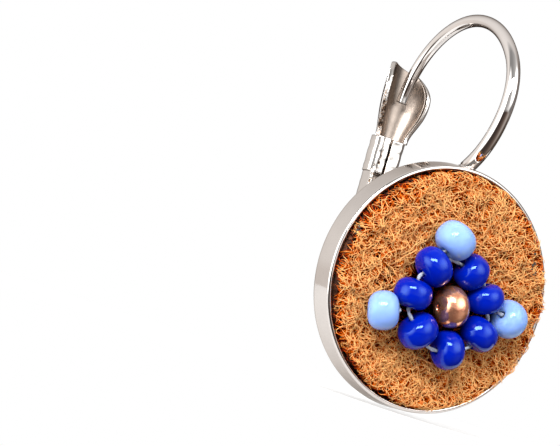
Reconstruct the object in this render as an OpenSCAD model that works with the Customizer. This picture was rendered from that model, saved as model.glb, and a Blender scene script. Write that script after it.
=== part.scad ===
// Leverback earring: a round metal tray with a bead flower sewn on a pad of coarse fibre.
// X runs across the earring, Y from its front to its back and Z up.
// The origin is the seat of the ear lobe, under the crest of the ear wire.

/* [Tray] */
// Outer diameter of the round tray at its rim
tray_d = 18; // [17.5:0.1:18.5]
// How much wider the tray is at its back than at its rim
tray_flare = 0.16; // [0:0.02:0.3]
// Depth of the tray from its rim to its back
tray_depth = 2.35; // [2.2:0.05:2.6]
// Thickness of the tray's wall and floor
tray_wall = 0.4; // [0.35:0.05:0.45]
// Radius of the tray's back edge
tray_edge_r = 0.5; // [0.3:0.05:0.6]

/* [Pad] */
// Gap between the pad and the tray's wall
pad_gap = 0.3; // [0.25:0.05:0.5]
// How far the pad stands out of the tray
pad_proud = 0.55; // [0.5:0.05:0.8]
// Radius of the pad's front edge
pad_edge_r = 0.8; // [0.6:0.1:0.9]

/* [Beads] */
// Diameter of a bead's hole
bead_hole_d = 0.96; // [0.9:0.02:1]
// Gap between the beads and the pad
bead_lift = 0.04; // [0.03:0.01:0.1]
// Place of the flower's middle across the tray
flower_x = 0.06; // [-0.1:0.02:0.2]
// Place of the flower's middle above the tray's middle
flower_z = -0.9; // [-1:0.05:-0.7]
// Diameter of the beading thread
thread_d = 0.28; // [0.2:0.02:0.3]
// Radius of the thread's loop through the blue beads
thread_loop_r = 3.2; // [3.15:0.05:3.25]

/* [Ear wire] */
// Diameter of the ear wire where it is soldered to the tray
wire_base_d = 1.1; // [1:0.02:1.12]
// Diameter of the ear wire at its free end
wire_tip_d = 0.82; // [0.7:0.02:0.84]
// Place of the wire's foot behind the tray's rim
wire_foot_y = 1.37; // [1.3:0.01:1.45]
// Height of the wire's foot above the tray's middle
wire_foot_z = 9.34; // [9.3:0.01:9.4]

/* [Lever] */
// Distance of the hinge pin behind the tray's rim
hinge_y = 12.75; // [12.7:0.01:12.8]
// Height of the hinge pin above the tray's middle
hinge_z = 3.6; // [3.5:0.05:3.7]
// How far the closed lever leans back, in degrees
lever_lean = 4.5; // [4.2:0.1:4.8]
// Thickness of the lever's sheet metal
sheet = 0.35; // [0.3:0.01:0.38]
// Width of the folded sleeve
sleeve_w = 2.6; // [2.5:0.05:2.7]
// Depth of the folded sleeve
sleeve_deep = 1.35; // [1.2:0.05:1.4]
// Width of the slit where the sleeve's two folds meet
slit_w = 0.3; // [0.2:0.05:0.4]
// Height of the sleeve's lower end above the hinge pin
sleeve_low = 3.55; // [3.3:0.05:3.7]
// Height of the sleeve's upper end above the hinge pin
sleeve_high = 6.4; // [6.3:0.05:6.5]
// Distance of the lever's flat back behind the hinge pin
lever_back = 1.15; // [1.1:0.01:1.2]

/* [Hinge] */
// Diameter of the hinge pin
pin_d = 0.6; // [0.56:0.02:0.64]
// Width of the strip that carries the hinge
strip_w = 1.5; // [1.4:0.05:1.5]
// Thickness of that strip
strip_t = 0.7; // [0.6:0.05:0.8]
// Height of the strip's level run above the tray's middle
strip_z = -0.9; // [-1:0.1:-0.8]
// Radius of the strip's bend, at the middle of its thickness
strip_bend_r = 1.6; // [1.5:0.1:1.7]

/* [Hidden] */
$fn = 64;

// The ear wire's bends from its foot to its free end.
// Columns: radius of the bend, angle it turns
RADIUS = 0;
TURN = 1;
wire_bends = [
    [6.7, 42],
    [4.8, 53],
    [8.2, 44],
    [7.4, 68],
    [6.6, 22]
];
crest_bend = 3;      // the crest is where this many bends are done
wire_steps = 8;      // stretches that each bend is drawn with
wire_sides = 16;

// Blue beads round the flower.
// Columns: angle from +X, distance from the flower's middle, length, diameter
ANGLE = 0;
OUT = 1;
LENGTH = 2;
DIAMETER = 3;
blue_beads = [
    [135.6, 3.28, 2.12, 3.00],
    [73,  2.96, 2.08, 2.70],
    [27,  3.00, 2.06, 2.74],
    [339, 3.28, 2.22, 2.80],
    [288, 3.12, 2.06, 2.86],
    [231, 3.02, 2.20, 2.94],
    [179.3, 3.20, 2.12, 2.80]
];

// Sky blue beads outside the flower.
// Columns as above, then the way the hole's outer end points, and how far its inner end lifts off the pad
HOLE_TURN = 4;
HOLE_LIFT = 5;
sky_beads = [
    [106, 4.76, 2.32, 2.98, 60,  4],
    [6.0, 5.06, 2.16, 2.80, -9,  24],
    [199, 5.38, 2.24, 2.82, 198, 28]
];

// The smooth copper-coloured bead in the middle, whose hole points a little up to the right
copper_d = 3.0;
copper_length = 2.2;
copper_turn = 20;
copper_shift = [0.08, 0.02];

// The lever's spoon, from its neck to its top.
// Columns: height above the hinge pin, half width, depth of the curl,
// how far it lies behind the lever's flat back, slope of the row down to +X
HEIGHT = 0;
HALF_W = 1;
CURL = 2;
BEHIND = 3;
SLOPE = 4;
spoon_rows = [
    [6.30,  1.38, 1.24, 0.04, 0.00],
    [6.70,  1.44, 1.18, 0.05, 0.00],
    [7.20,  1.56, 1.26, 0.06, 0.00],
    [7.80,  1.74, 1.48, 0.08, 0.00],
    [8.50,  1.92, 1.72, 0.10, 0.00],
    [9.30,  2.03, 1.84, 0.12, 0.02],
    [10.10, 2.04, 1.82, 0.14, 0.05],
    [10.70, 1.96, 1.60, 0.15, 0.08],
    [11.20, 1.82, 1.25, 0.16, 0.12],
    [11.55, 1.64, 0.90, 0.17, 0.15],
    [11.80, 1.46, 0.62, 0.18, 0.18],
    [11.92, 1.25, 0.45, 0.18, 0.20]
];
spoon_parts = 14;    // stretches across the spoon

tray_r = tray_d / 2;
tray_back_r = tray_r + tray_flare / 2;
tray_in_r = tray_r - tray_wall;
floor_y = tray_depth - tray_wall;
lip_r = tray_wall / 2;
pad_r = tray_in_r - pad_gap;
pad_back_y = floor_y - 0.05;
bead_hole_r = bead_hole_d / 2;
thread_r = thread_d / 2;
// the widest blue bead sets how high the flower lies
flower_y = -pad_proud - bead_lift - blue_beads[0][DIAMETER] / 2;

base_heading = wire_bends[0][TURN] + wire_bends[1][TURN] + wire_bends[2][TURN];
bend_count = len(wire_bends);

pin_r = pin_d / 2;
pin_bore_r = pin_r + 0.01;    // the pin sits tight in the strip's eye
lever_bore_r = pin_r + 0.05;  // and turns freely in the lever
pin_head_r = 0.52;
pin_head_t = 0.18;
eye_r = 0.68;
channel_in = strip_w / 2 + 0.06;
channel_out = channel_in + sheet;
flange_r = 0.8;
channel_low = 0.5;            // the back plate stops above the pin, clear of the strip
channel_front = -0.3;
foot_w = 3;
foot_h = 5;
foot_t = 0.5;
sleeve_corner_r = 0.4;
solder_foot_r = 0.68;
solder_top_r = 0.5;
back_step = 0.04;             // the channel's back plate and the pin's heads stand off by this much

// Heading of the wire once n bends are done, counted up from +Y
function heading(n) = n == 0 ? base_heading : heading(n - 1) - wire_bends[n - 1][TURN];

// Way along Y and Z from heading a to heading b on a bend of radius r
function bend_way(r, a, b) = r * [sin(a) - sin(b), cos(b) - cos(a)];

// Place along Y and Z where bend n starts
function bend_start(n) =
    n == 0 ? [wire_foot_y, wire_foot_z]
    : bend_start(n - 1) + bend_way(wire_bends[n - 1][RADIUS], heading(n - 1), heading(n));

function wire_radius(share) = (wire_base_d * (1 - share) + wire_tip_d * share) / 2;

// One row for each ring of the wire: Y, Z, heading, radius
function wire_row(n, k) =
    let (h = heading(n) - wire_bends[n][TURN] * k / wire_steps)
    let (p = bend_start(n) + bend_way(wire_bends[n][RADIUS], heading(n), h))
    [p[0], p[1], h, wire_radius((n + k / wire_steps) / bend_count)];

wire_rows = concat(
    [for (n = [0 : bend_count - 1]) for (k = [0 : wire_steps - 1]) wire_row(n, k)],
    [wire_row(bend_count - 1, wire_steps)]
);

crest = bend_start(crest_bend);
seat_y = crest[0];
seat_z = crest[1] - wire_radius(crest_bend / bend_count);

// Faces of the wall that joins rings of so many points in order
function wall_faces(rings, sides) =
    [for (i = [0 : rings - 2]) for (j = [0 : sides - 1])
        [i * sides + j, i * sides + (j + 1) % sides, (i + 1) * sides + (j + 1) % sides, (i + 1) * sides + j]];

// Faces of a tube: its wall, and a flat face at each end
function tube_faces(rings, sides) = concat(
    [[for (j = [sides - 1 : -1 : 0]) j]],
    wall_faces(rings, sides),
    [[for (j = [0 : sides - 1]) (rings - 1) * sides + j]]
);

// Faces of a curved sheet, whose ends are each a strip of four-sided faces between its back and its front
function sheet_faces(rings, parts) =
    let (sides = 2 * (parts + 1))
    let (top = (rings - 1) * sides)
    concat(
        [for (j = [0 : parts - 1]) [sides - 1 - j, sides - 2 - j, j + 1, j]],
        wall_faces(rings, sides),
        [for (j = [0 : parts - 1]) [top + j, top + j + 1, top + sides - 2 - j, top + sides - 1 - j]]
    );

function wire_ring(row) = [for (j = [0 : wire_sides - 1])
    let (a = 360 * j / wire_sides)
    [row[3] * cos(a), row[0] - row[3] * sin(a) * sin(row[2]), row[1] + row[3] * sin(a) * cos(row[2])]];

// One row of the spoon: an arc of sheet, out along its back and home along its front
function spoon_ring(row) =
    let (bend_r = (row[HALF_W] * row[HALF_W] + row[CURL] * row[CURL]) / (2 * row[CURL]))
    let (half = 2 * atan(row[CURL] / row[HALF_W]))
    let (mid = lever_back + row[BEHIND] - bend_r)
    concat(
        [for (j = [0 : spoon_parts])
            let (a = half * (2 * j / spoon_parts - 1))
            [bend_r * sin(a), mid + bend_r * cos(a), row[HEIGHT] - row[SLOPE] * bend_r * sin(a)]],
        [for (j = [spoon_parts : -1 : 0])
            let (a = half * (2 * j / spoon_parts - 1))
            let (r = bend_r - sheet)
            [r * sin(a), mid + r * cos(a), row[HEIGHT] - row[SLOPE] * bend_r * sin(a)]]
    );

// Puts what is drawn about the middle of the tray's rim at its place under the seat
module from_tray() {
    translate([0, -seat_y, -seat_z]) children();
}

// Turns what is drawn round Z to lie round Y, with its top at the back
module facing_back() {
    rotate([-90, 0, 0]) children();
}

module tray_shape() {
    edge_y = tray_depth - tray_edge_r;
    facing_back() rotate_extrude() {
        difference() {
            union() {
                polygon([[0, lip_r], [tray_r, lip_r], [tray_back_r, edge_y], [0, edge_y]]);
                translate([0, lip_r]) square([tray_back_r - tray_edge_r, tray_depth - lip_r]);
                translate([tray_back_r - tray_edge_r, edge_y]) circle(r = tray_edge_r);
            }
            translate([-1, -1]) square([tray_in_r + 1, floor_y + 1]);
        }
        translate([tray_r - lip_r, lip_r]) circle(r = lip_r);
    }
}

module wire_shape() {
    polyhedron(
        [for (row = wire_rows) each wire_ring(row)],
        tube_faces(len(wire_rows), wire_sides)
    );
}

// The solder that joins the wire's foot to the tray's wall
module solder_shape() {
    solder_low = tray_r - tray_wall / 2;
    solder_high = wire_foot_z + 0.2;
    translate([0, wire_foot_y + 0.1, solder_low])
        cylinder(r1 = solder_foot_r, r2 = solder_top_r, h = solder_high - solder_low);
}

// The strip behind the tray: a soldered foot, a level run, a bend and an upright eye
module strip_shape() {
    bend_y = hinge_y - strip_bend_r;
    bend_z = strip_z + strip_bend_r;
    translate([-foot_w / 2, tray_depth - 0.1, strip_z - foot_h / 2]) cube([foot_w, foot_t + 0.1, foot_h]);
    translate([-strip_w / 2, tray_depth, strip_z - strip_t / 2])
        cube([strip_w, bend_y - tray_depth, strip_t]);
    translate([-strip_w / 2, bend_y, bend_z]) rotate([90, 0, 90])
        strip_bend(strip_bend_r, strip_t, strip_w);
    translate([-strip_w / 2, hinge_y - strip_t / 2, bend_z]) cube([strip_w, strip_t, hinge_z - bend_z]);
    translate([-strip_w / 2, hinge_y, hinge_z]) rotate([0, 90, 0]) cylinder(r = eye_r, h = strip_w);
}

// A quarter of a flat ring, below and to the right of its centre
module strip_bend(r, t, w) {
    rotate([0, 0, -90]) rotate_extrude(angle = 90) translate([r - t / 2, 0]) square([t, w]);
}

module tray_and_ear_wire() {
    color("silver") from_tray() difference() {
        union() {
            tray_shape();
            wire_shape();
            solder_shape();
            strip_shape();
        }
        translate([-strip_w, hinge_y, hinge_z]) rotate([0, 90, 0]) cylinder(r = pin_bore_r, h = 2 * strip_w);
    }
}

// Outline of the folded sleeve from above, closed but for the slit at its front
module sleeve_outline(w, deep, corner) {
    translate([-w / 2 + corner, 0]) square([w - 2 * corner, deep]);
    translate([-w / 2, corner]) square([w, deep - 2 * corner]);
    for (x = [-1, 1]) for (y = [corner, deep - corner])
        translate([x * (w / 2 - corner), y]) circle(r = corner);
}

module sleeve_shape() {
    translate([0, lever_back - sleeve_deep, sleeve_low]) linear_extrude(sleeve_high - sleeve_low)
        difference() {
            sleeve_outline(sleeve_w, sleeve_deep, sleeve_corner_r);
            translate([sheet - sleeve_w / 2, sheet]) square([sleeve_w - 2 * sheet, sleeve_deep - 2 * sheet]);
            translate([-slit_w / 2, -sheet]) square([slit_w, 3 * sheet]);
        }
}

module spoon_shape() {
    polyhedron(
        [for (row = spoon_rows) each spoon_ring(row)],
        sheet_faces(len(spoon_rows), spoon_parts)
    );
}

// The channel under the sleeve, whose two flanges straddle the strip's eye
module channel_shape() {
    channel_back = lever_back + back_step;
    plate_w = 2 * channel_in + sheet;
    translate([-plate_w / 2, channel_back - sheet, channel_low])
        cube([plate_w, sheet, sleeve_low + 0.2 - channel_low]);
    for (x = [-channel_out, channel_in]) translate([x, 0, 0]) rotate([90, 0, 90]) linear_extrude(sheet)
        union() {
            circle(r = flange_r);
            translate([channel_front, 0]) square([channel_back - 0.1 - channel_front, sleeve_low + 0.3]);
        }
}

module lever() {
    color("gainsboro") from_tray() translate([0, hinge_y, hinge_z]) rotate([-lever_lean, 0, 0]) difference() {
        union() {
            channel_shape();
            sleeve_shape();
            spoon_shape();
        }
        translate([-sleeve_w, 0, 0]) rotate([0, 90, 0]) cylinder(r = lever_bore_r, h = 2 * sleeve_w);
    }
}

// The rivet that the lever turns on, with a low head on each side
module hinge_pin() {
    head_x = channel_out + back_step;
    color("darkgray") from_tray() translate([0, hinge_y, hinge_z]) rotate([0, 90, 0]) {
        translate([0, 0, -head_x]) cylinder(r = pin_r, h = 2 * head_x);
        for (side = [-1, 1]) translate([0, 0, side * (head_x + pin_head_t / 2)])
            cylinder(r = pin_head_r, h = pin_head_t, center = true);
    }
}

module fibre_pad() {
    color("peru") from_tray() facing_back() rotate_extrude() {
        translate([0, -pad_proud]) square([pad_r - pad_edge_r, pad_back_y + pad_proud]);
        translate([0, pad_edge_r - pad_proud]) square([pad_r, pad_back_y + pad_proud - pad_edge_r]);
        translate([pad_r - pad_edge_r, pad_edge_r - pad_proud]) circle(r = pad_edge_r);
    }
}

// Puts a bead that is drawn round Z on the pad, with its hole pointing the given way
module on_pad(angle, out, hole_turn, hole_lift, diameter) {
    from_tray()
        translate([
            flower_x + out * cos(angle),
            -pad_proud - bead_lift - diameter / 2,
            flower_z + out * sin(angle)])
        rotate([0, -hole_turn, 0]) rotate([0, 0, hole_lift]) rotate([0, 90, 0]) children();
}

// A round bead: a fat ring whose rounded side is as high as the bead is long
module round_bead(length, diameter) {
    rotate_extrude() intersection() {
        translate([diameter / 2 - length / 2, 0]) circle(r = length / 2);
        translate([bead_hole_r, -length]) square([diameter, 2 * length]);
    }
}

module blue_bead(index) {
    row = blue_beads[index];
    color("mediumblue") on_pad(row[ANGLE], row[OUT], row[ANGLE] + 90, 0, row[DIAMETER])
        round_bead(row[LENGTH], row[DIAMETER]);
}

module sky_bead(index) {
    row = sky_beads[index];
    color("lightskyblue") on_pad(row[ANGLE], row[OUT], row[HOLE_TURN], row[HOLE_LIFT], row[DIAMETER])
        round_bead(row[LENGTH], row[DIAMETER]);
}

module copper_bead() {
    color("sienna") on_copper() round_bead(copper_length, copper_d);
}

module on_copper() {
    from_tray() translate([flower_x + copper_shift[0], flower_y, flower_z + copper_shift[1]])
        rotate([0, -copper_turn, 0]) rotate([0, 90, 0]) children();
}

// A loop through the blue beads, and a short straight stitch through each of the others
module bead_thread() {
    color("white") {
        from_tray() translate([flower_x, flower_y, flower_z]) facing_back()
            rotate_extrude() translate([thread_loop_r, 0]) circle(r = thread_r);
        for (row = sky_beads) on_pad(row[ANGLE], row[OUT], row[HOLE_TURN], row[HOLE_LIFT], row[DIAMETER])
            cylinder(r = thread_r, h = row[LENGTH] - 0.1, center = true);
        on_copper() cylinder(r = thread_r, h = copper_length, center = true);
    }
}

tray_and_ear_wire();
lever();
hinge_pin();
fibre_pad();
blue_bead(0);  // blue_bead_1
blue_bead(1);  // blue_bead_2
blue_bead(2);  // blue_bead_3
blue_bead(3);  // blue_bead_4
blue_bead(4);  // blue_bead_5
blue_bead(5);  // blue_bead_6
blue_bead(6);  // blue_bead_7
sky_bead(0);  // sky_bead_1
sky_bead(1);  // sky_bead_2
sky_bead(2);  // sky_bead_3
copper_bead();
bead_thread();
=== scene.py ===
# %% [markdown]
# # A leverback earring, dressed over its CAD frame
# The CAD model gives every piece its size and place. This script follows it, and gives each piece a finish
# like that of the real one: polished metal, curly fibre, glossy glass beads and one copper-coloured bead.
# Lengths below are millimetres in the tray's own frame, whose zero is the middle of the tray's rim.
# place() turns them into Blender's metres in the CAD frame, whose zero is the seat of the ear lobe.

# %% Load the CAD frame
import math

import bmesh
import bpy
import numpy as np
from mathutils import Matrix, Vector


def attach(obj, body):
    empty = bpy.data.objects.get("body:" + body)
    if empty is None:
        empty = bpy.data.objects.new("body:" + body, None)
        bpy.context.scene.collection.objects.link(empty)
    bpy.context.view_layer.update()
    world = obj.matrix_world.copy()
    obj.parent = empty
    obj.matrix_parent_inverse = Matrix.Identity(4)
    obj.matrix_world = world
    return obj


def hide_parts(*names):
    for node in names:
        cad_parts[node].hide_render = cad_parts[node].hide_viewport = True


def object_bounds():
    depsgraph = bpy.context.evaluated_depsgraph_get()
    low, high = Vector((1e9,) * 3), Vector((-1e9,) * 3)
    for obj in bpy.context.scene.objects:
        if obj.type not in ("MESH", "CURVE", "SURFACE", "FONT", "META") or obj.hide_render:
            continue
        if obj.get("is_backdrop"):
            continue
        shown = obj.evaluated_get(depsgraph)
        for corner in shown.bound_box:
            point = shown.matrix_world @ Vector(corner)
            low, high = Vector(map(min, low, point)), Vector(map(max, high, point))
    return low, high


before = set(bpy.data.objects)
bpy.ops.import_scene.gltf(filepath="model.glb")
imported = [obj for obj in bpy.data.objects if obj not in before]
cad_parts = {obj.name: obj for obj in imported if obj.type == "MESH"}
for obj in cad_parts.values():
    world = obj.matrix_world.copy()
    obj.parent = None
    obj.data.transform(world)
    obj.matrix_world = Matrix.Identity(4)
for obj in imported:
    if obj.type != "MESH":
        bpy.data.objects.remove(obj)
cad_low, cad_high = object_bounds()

print("CAD box in mm:", [round(1000 * c, 2) for c in (*cad_low, *cad_high)])

# %% [markdown]
# ## Helpers for meshes
# Most pieces of this earring are one outline carried along a line or turned round an axis: the tray, the
# wire, the beads, the thread and each fibre. They could be Blender curves with a bevel, but rings of points
# written in code give control over every edge, and turn straight into closed meshes. So the helpers here
# make rings, join them with four-sided faces, and seat the result on its CAD body.

# %% Place and mesh helpers
MM = 0.001
SEAT = np.array([0.0, 6.2416, 19.4532])
EARRING = "earring"
LEVER = "lever"


def place(points):
    """Millimetres in the tray's frame to metres in the CAD frame."""
    return (np.asarray(points, float) - SEAT) * MM


def ring_faces(rings, sides):
    """Four-sided faces that join rings of points in order."""
    i = np.arange(rings - 1)[:, None] * sides
    j = np.arange(sides)[None, :]
    after = (j + 1) % sides
    return np.stack([i + j, i + after, i + sides + after, i + sides + j], -1).reshape(-1, 4)


def capped_faces(rings, sides):
    """Faces of a tube with a flat face at each end."""
    faces = ring_faces(rings, sides).tolist()
    faces.append(list(range(sides - 1, -1, -1)))
    faces.append([(rings - 1) * sides + j for j in range(sides)])
    return faces


def add_piece(name, points, faces, body, slot, stands_for):
    """Makes a closed, smooth-shaded mesh and seats it on its CAD body."""
    mesh = bpy.data.meshes.new(name)
    mesh.from_pydata(place(points).tolist(), [], faces)
    work = bmesh.new()
    work.from_mesh(mesh)
    bmesh.ops.recalc_face_normals(work, faces=work.faces)
    work.to_mesh(mesh)
    work.free()
    mesh.shade_smooth()
    piece = bpy.data.objects.new(name, mesh)
    bpy.context.scene.collection.objects.link(piece)
    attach(piece, body)
    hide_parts(stands_for)
    print(name, len(mesh.vertices), "points")
    return piece


def arc(centre, radius, start, end, steps):
    """Points of an arc in a plane, from one angle to another, in degrees."""
    angles = np.radians(np.linspace(start, end, steps))
    return [(centre[0] + radius * math.cos(a), centre[1] + radius * math.sin(a)) for a in angles]


def join_meshes(parts):
    """One list of points and one of faces from several."""
    points = []
    faces = []
    for part_points, part_faces in parts:
        start = len(points)
        points.extend(np.asarray(part_points).tolist())
        faces.extend([[start + int(k) for k in face] for face in part_faces])
    return np.array(points), faces


def set_mark(piece, name, values):
    """Keeps a number at each point, which the piece's material reads."""
    mark = piece.data.attributes.new(name, "FLOAT", "POINT")
    mark.data.foreach_set("value", np.asarray(values, np.float32))


# %% [markdown]
# ## Helpers for materials
# Every finish here is a network of shader nodes, so it needs no picture. Each one starts from the Principled
# shader. Small helpers add the nodes that repeat: noise in the piece's own coordinates, a colour ramp, and a
# bump whose height is in metres, because these pieces are only millimetres across.

# %% Material helpers
def new_finish(name):
    """A material with its Principled shader, ready for more nodes."""
    finish = bpy.data.materials.new(name)
    finish.use_nodes = True
    nodes = finish.node_tree.nodes
    return finish, nodes, finish.node_tree.links, nodes["Principled BSDF"]


def noise(nodes, links, per_mm, detail=3.0, stretch=(1, 1, 1), rough=0.55):
    """Noise in object coordinates, with so many lumps in a millimetre."""
    where = nodes.new("ShaderNodeTexCoord")
    scale = nodes.new("ShaderNodeMapping")
    scale.inputs["Scale"].default_value = stretch
    links.new(where.outputs["Object"], scale.inputs["Vector"])
    field = nodes.new("ShaderNodeTexNoise")
    field.inputs["Scale"].default_value = per_mm / MM
    field.inputs["Detail"].default_value = detail
    field.inputs["Roughness"].default_value = rough
    links.new(scale.outputs["Vector"], field.inputs["Vector"])
    return field.outputs["Fac"]


def ramp(nodes, links, value, stops):
    """Colour from a number, with stops of place and colour."""
    node = nodes.new("ShaderNodeValToRGB")
    while len(node.color_ramp.elements) < len(stops):
        node.color_ramp.elements.new(0.5)
    for element, (position, colour) in zip(node.color_ramp.elements, stops):
        element.position = position
        element.color = (*colour, 1)
    links.new(value, node.inputs["Fac"])
    return node.outputs["Color"]


def grey(level):
    return (level, level, level)


def spread(nodes, links, value, low, high, to_low, to_high):
    """A number carried from one range to another, and kept inside it."""
    node = nodes.new("ShaderNodeMapRange")
    node.inputs["From Min"].default_value = low
    node.inputs["From Max"].default_value = high
    node.inputs["To Min"].default_value = to_low
    node.inputs["To Max"].default_value = to_high
    links.new(value, node.inputs["Value"])
    return node.outputs["Result"]


def combine(nodes, links, how, first, second):
    """Two numbers made one, by a named operation."""
    node = nodes.new("ShaderNodeMath")
    node.operation = how
    for socket, value in zip(node.inputs, (first, second)):
        if isinstance(value, (int, float)):
            socket.default_value = value
        else:
            links.new(value, socket)
    return node.outputs["Value"]


def mix_colour(nodes, links, share, first, second):
    """Two colours mixed by a share."""
    node = nodes.new("ShaderNodeMix")
    node.data_type = "RGBA"
    sockets = (node.inputs["Factor"], node.inputs["A"], node.inputs["B"])
    for socket, value in zip(sockets, (share, first, second)):
        if isinstance(value, tuple):
            socket.default_value = (*value, 1)
        elif isinstance(value, (int, float)):
            socket.default_value = value
        else:
            links.new(value, socket)
    return node.outputs["Result"]


def bump(nodes, links, height, depth_mm, shader):
    """Relief of so many millimetres from a number between 0 and 1."""
    node = nodes.new("ShaderNodeBump")
    node.inputs["Distance"].default_value = depth_mm * MM
    links.new(height, node.inputs["Height"])
    links.new(node.outputs["Normal"], shader.inputs["Normal"])


def read_mark(nodes, name):
    """The number that set_mark kept at each point."""
    node = nodes.new("ShaderNodeAttribute")
    node.attribute_name = name
    return node.outputs["Fac"]


def paint(nodes, links, shader, value, stops):
    """The base colour of a finish from a number, with stops of place and colour."""
    links.new(ramp(nodes, links, value, stops), shader.inputs["Base Color"])


def dress(finish, *pieces):
    """Gives pieces their finish."""
    for piece in pieces:
        piece.data.materials.append(finish)
    print(finish.name, "on", ", ".join(piece.name for piece in pieces))


# %% [markdown]
# ## The camera
# The photo was taken from the left of the earring's face, almost level with the tray, with the camera turned
# about its own line of sight. Its place was found by fitting the rim, the tray's outline and the wire's foot
# to the photo, for a focal length that was chosen. Blender's camera matrix holds the camera's right, up and
# backward directions in the CAD frame, so these are worked out first.

# %% Camera
CAMERA_PLACE = np.array([-112.62, -183.13, -5.10])
RIGHT = Vector((0.8308, -0.4577, 0.3166)).normalized()
FORWARD = Vector((0.4741, 0.8800, 0.0283)).normalized()
UP = RIGHT.cross(FORWARD).normalized()
FOCAL_PIXELS = 3000
PHOTO_WIDTH = 560
SENSOR_MM = 36

lens = bpy.data.cameras.new("camera")
lens.sensor_fit = "HORIZONTAL"
lens.sensor_width = SENSOR_MM
lens.lens = FOCAL_PIXELS / PHOTO_WIDTH * SENSOR_MM
lens.clip_start = 0.01
lens.clip_end = 10
camera = bpy.data.objects.new("camera", lens)
bpy.context.scene.collection.objects.link(camera)
turn = Matrix((RIGHT, UP, -FORWARD)).transposed().to_4x4()
camera.matrix_world = Matrix.Translation(Vector(place(CAMERA_PLACE))) @ turn
bpy.context.scene.camera = camera
print("lens", round(lens.lens, 2), "mm")

# %% [markdown]
# ## The tray
# The tray is taken to be pressed from thin sheet metal. It is one turned shape: a flat floor, a low wall
# that opens a little towards the back, a rolled lip and a rounded back edge. A lathe outline turned round
# the tray's axis is the natural way to make it. Thin metal is never perfectly round, so the wall gets waves
# of a few thousandths of a millimetre, which bend the reflections in it a little.

# %% Tray shell
TRAY_R = 9.0
TRAY_BACK_R = 9.08
TRAY_IN_R = 8.6
LIP_R = 0.2
FLOOR_Y = 1.95
BACK_Y = 2.35
FLOOR_CORNER_R = 0.3
BACK_EDGE_R = 0.5
HUB_R = 0.25
FLOOR_RINGS = (4.0, 8.1)
INNER_WALL_RINGS = (1.2, 0.7, 0.3)
BACK_RINGS = (8.4, 5.0)
WALL_SHARES = (0.04, 0.12, 0.25, 0.4, 0.55, 0.7, 0.85, 0.95)
TRAY_SIDES = 192
# Each row gives a wave's height, how many go round the tray, how far it turns with depth and where it starts.
WALL_WAVES = [(0.0035, 5, 1.0, 0.7), (0.0020, 13, 2.1, 0.0), (0.0012, 29, 4.0, 0.0)]

edge_y = BACK_Y - BACK_EDGE_R
outline = [(HUB_R, FLOOR_Y)] + [(r, FLOOR_Y) for r in FLOOR_RINGS]
outline += arc((TRAY_IN_R - FLOOR_CORNER_R, FLOOR_Y - FLOOR_CORNER_R), FLOOR_CORNER_R, 90, 0, 7)
outline += [(TRAY_IN_R, y) for y in INNER_WALL_RINGS]
outline += arc((TRAY_R - LIP_R, LIP_R), LIP_R, 180, 360, 19)
for share in WALL_SHARES:
    outline.append((TRAY_R + share * (TRAY_BACK_R - TRAY_R), LIP_R + share * (edge_y - LIP_R)))
outline += arc((TRAY_BACK_R - BACK_EDGE_R, edge_y), BACK_EDGE_R, 0, 90, 12)
outline += [(r, BACK_Y) for r in BACK_RINGS] + [(HUB_R, BACK_Y)]

tray_angles = np.linspace(0, 2 * math.pi, TRAY_SIDES, endpoint=False)
tray_rings = []
for radius, along in outline:
    waves = sum(high * np.sin(count * tray_angles + twist * along + phase)
                for high, count, twist, phase in WALL_WAVES)
    out = radius + waves * min(1.0, radius / TRAY_R)
    tray_rings.append(np.stack([out * np.cos(tray_angles), np.full(TRAY_SIDES, along),
                                out * np.sin(tray_angles)], 1))
tray_shell = add_piece("tray_shell", np.concatenate(tray_rings), capped_faces(len(outline), TRAY_SIDES),
                       EARRING, "polished_metal", "tray_and_ear_wire")

# %% [markdown]
# ## The ear wire
# The wire is drawn round, bent in one plane through five bends of different radius, soldered to the wall at
# its thick end and cut square at its thin end. It is swept along those bends. The first ring lies inside the
# wall, so that the wire grows out of the metal, and the last rings draw in to break the cut's sharp edge.

# %% Ear wire
# Each row gives a bend's radius and its turn in degrees. The third ends at the crest, where it is level.
WIRE_BENDS = [(6.7, 42), (4.8, 53), (8.2, 44), (7.4, 68), (6.6, 22)]
BENDS_TO_CREST = 3
WIRE_FOOT = (1.37, 9.34)
WIRE_BASE_R = 0.55
WIRE_TIP_R = 0.41
STEPS_A_BEND = 26
WIRE_SIDES = 40
FOOT_BURIED = 0.42
# Each row gives how far before the cut a ring lies, and its radius as a share of the wire's.
CUT_RINGS = [(0.05, 1.0), (0.02, 0.985), (0.0, 0.93), (-0.002, 0.86)]


def along_bend(begin, bend_r, start, now):
    """Where the wire has come to at one heading, in a bend that begins at another."""
    return begin + bend_r * np.array([math.sin(start) - math.sin(now), math.cos(now) - math.cos(start)])


def slid_back(station, back, scale=1.0):
    """A ring's place moved back along the wire's line, with its radius scaled."""
    y, z, heading, radius = station
    return (y - back * math.cos(heading), z - back * math.sin(heading), heading, radius * scale)


stations = []
here = np.array(WIRE_FOOT)
heading = math.radians(sum(degrees for bend_r, degrees in WIRE_BENDS[:BENDS_TO_CREST]))
for number, (bend_r, degrees) in enumerate(WIRE_BENDS):
    last_bend = number == len(WIRE_BENDS) - 1
    for k in range(STEPS_A_BEND + last_bend):
        now = heading - math.radians(degrees) * k / STEPS_A_BEND
        spot = along_bend(here, bend_r, heading, now)
        share = (number + k / STEPS_A_BEND) / len(WIRE_BENDS)
        stations.append((spot[0], spot[1], now, WIRE_BASE_R + share * (WIRE_TIP_R - WIRE_BASE_R)))
    next_heading = heading - math.radians(degrees)
    here = along_bend(here, bend_r, heading, next_heading)
    heading = next_heading

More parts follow.
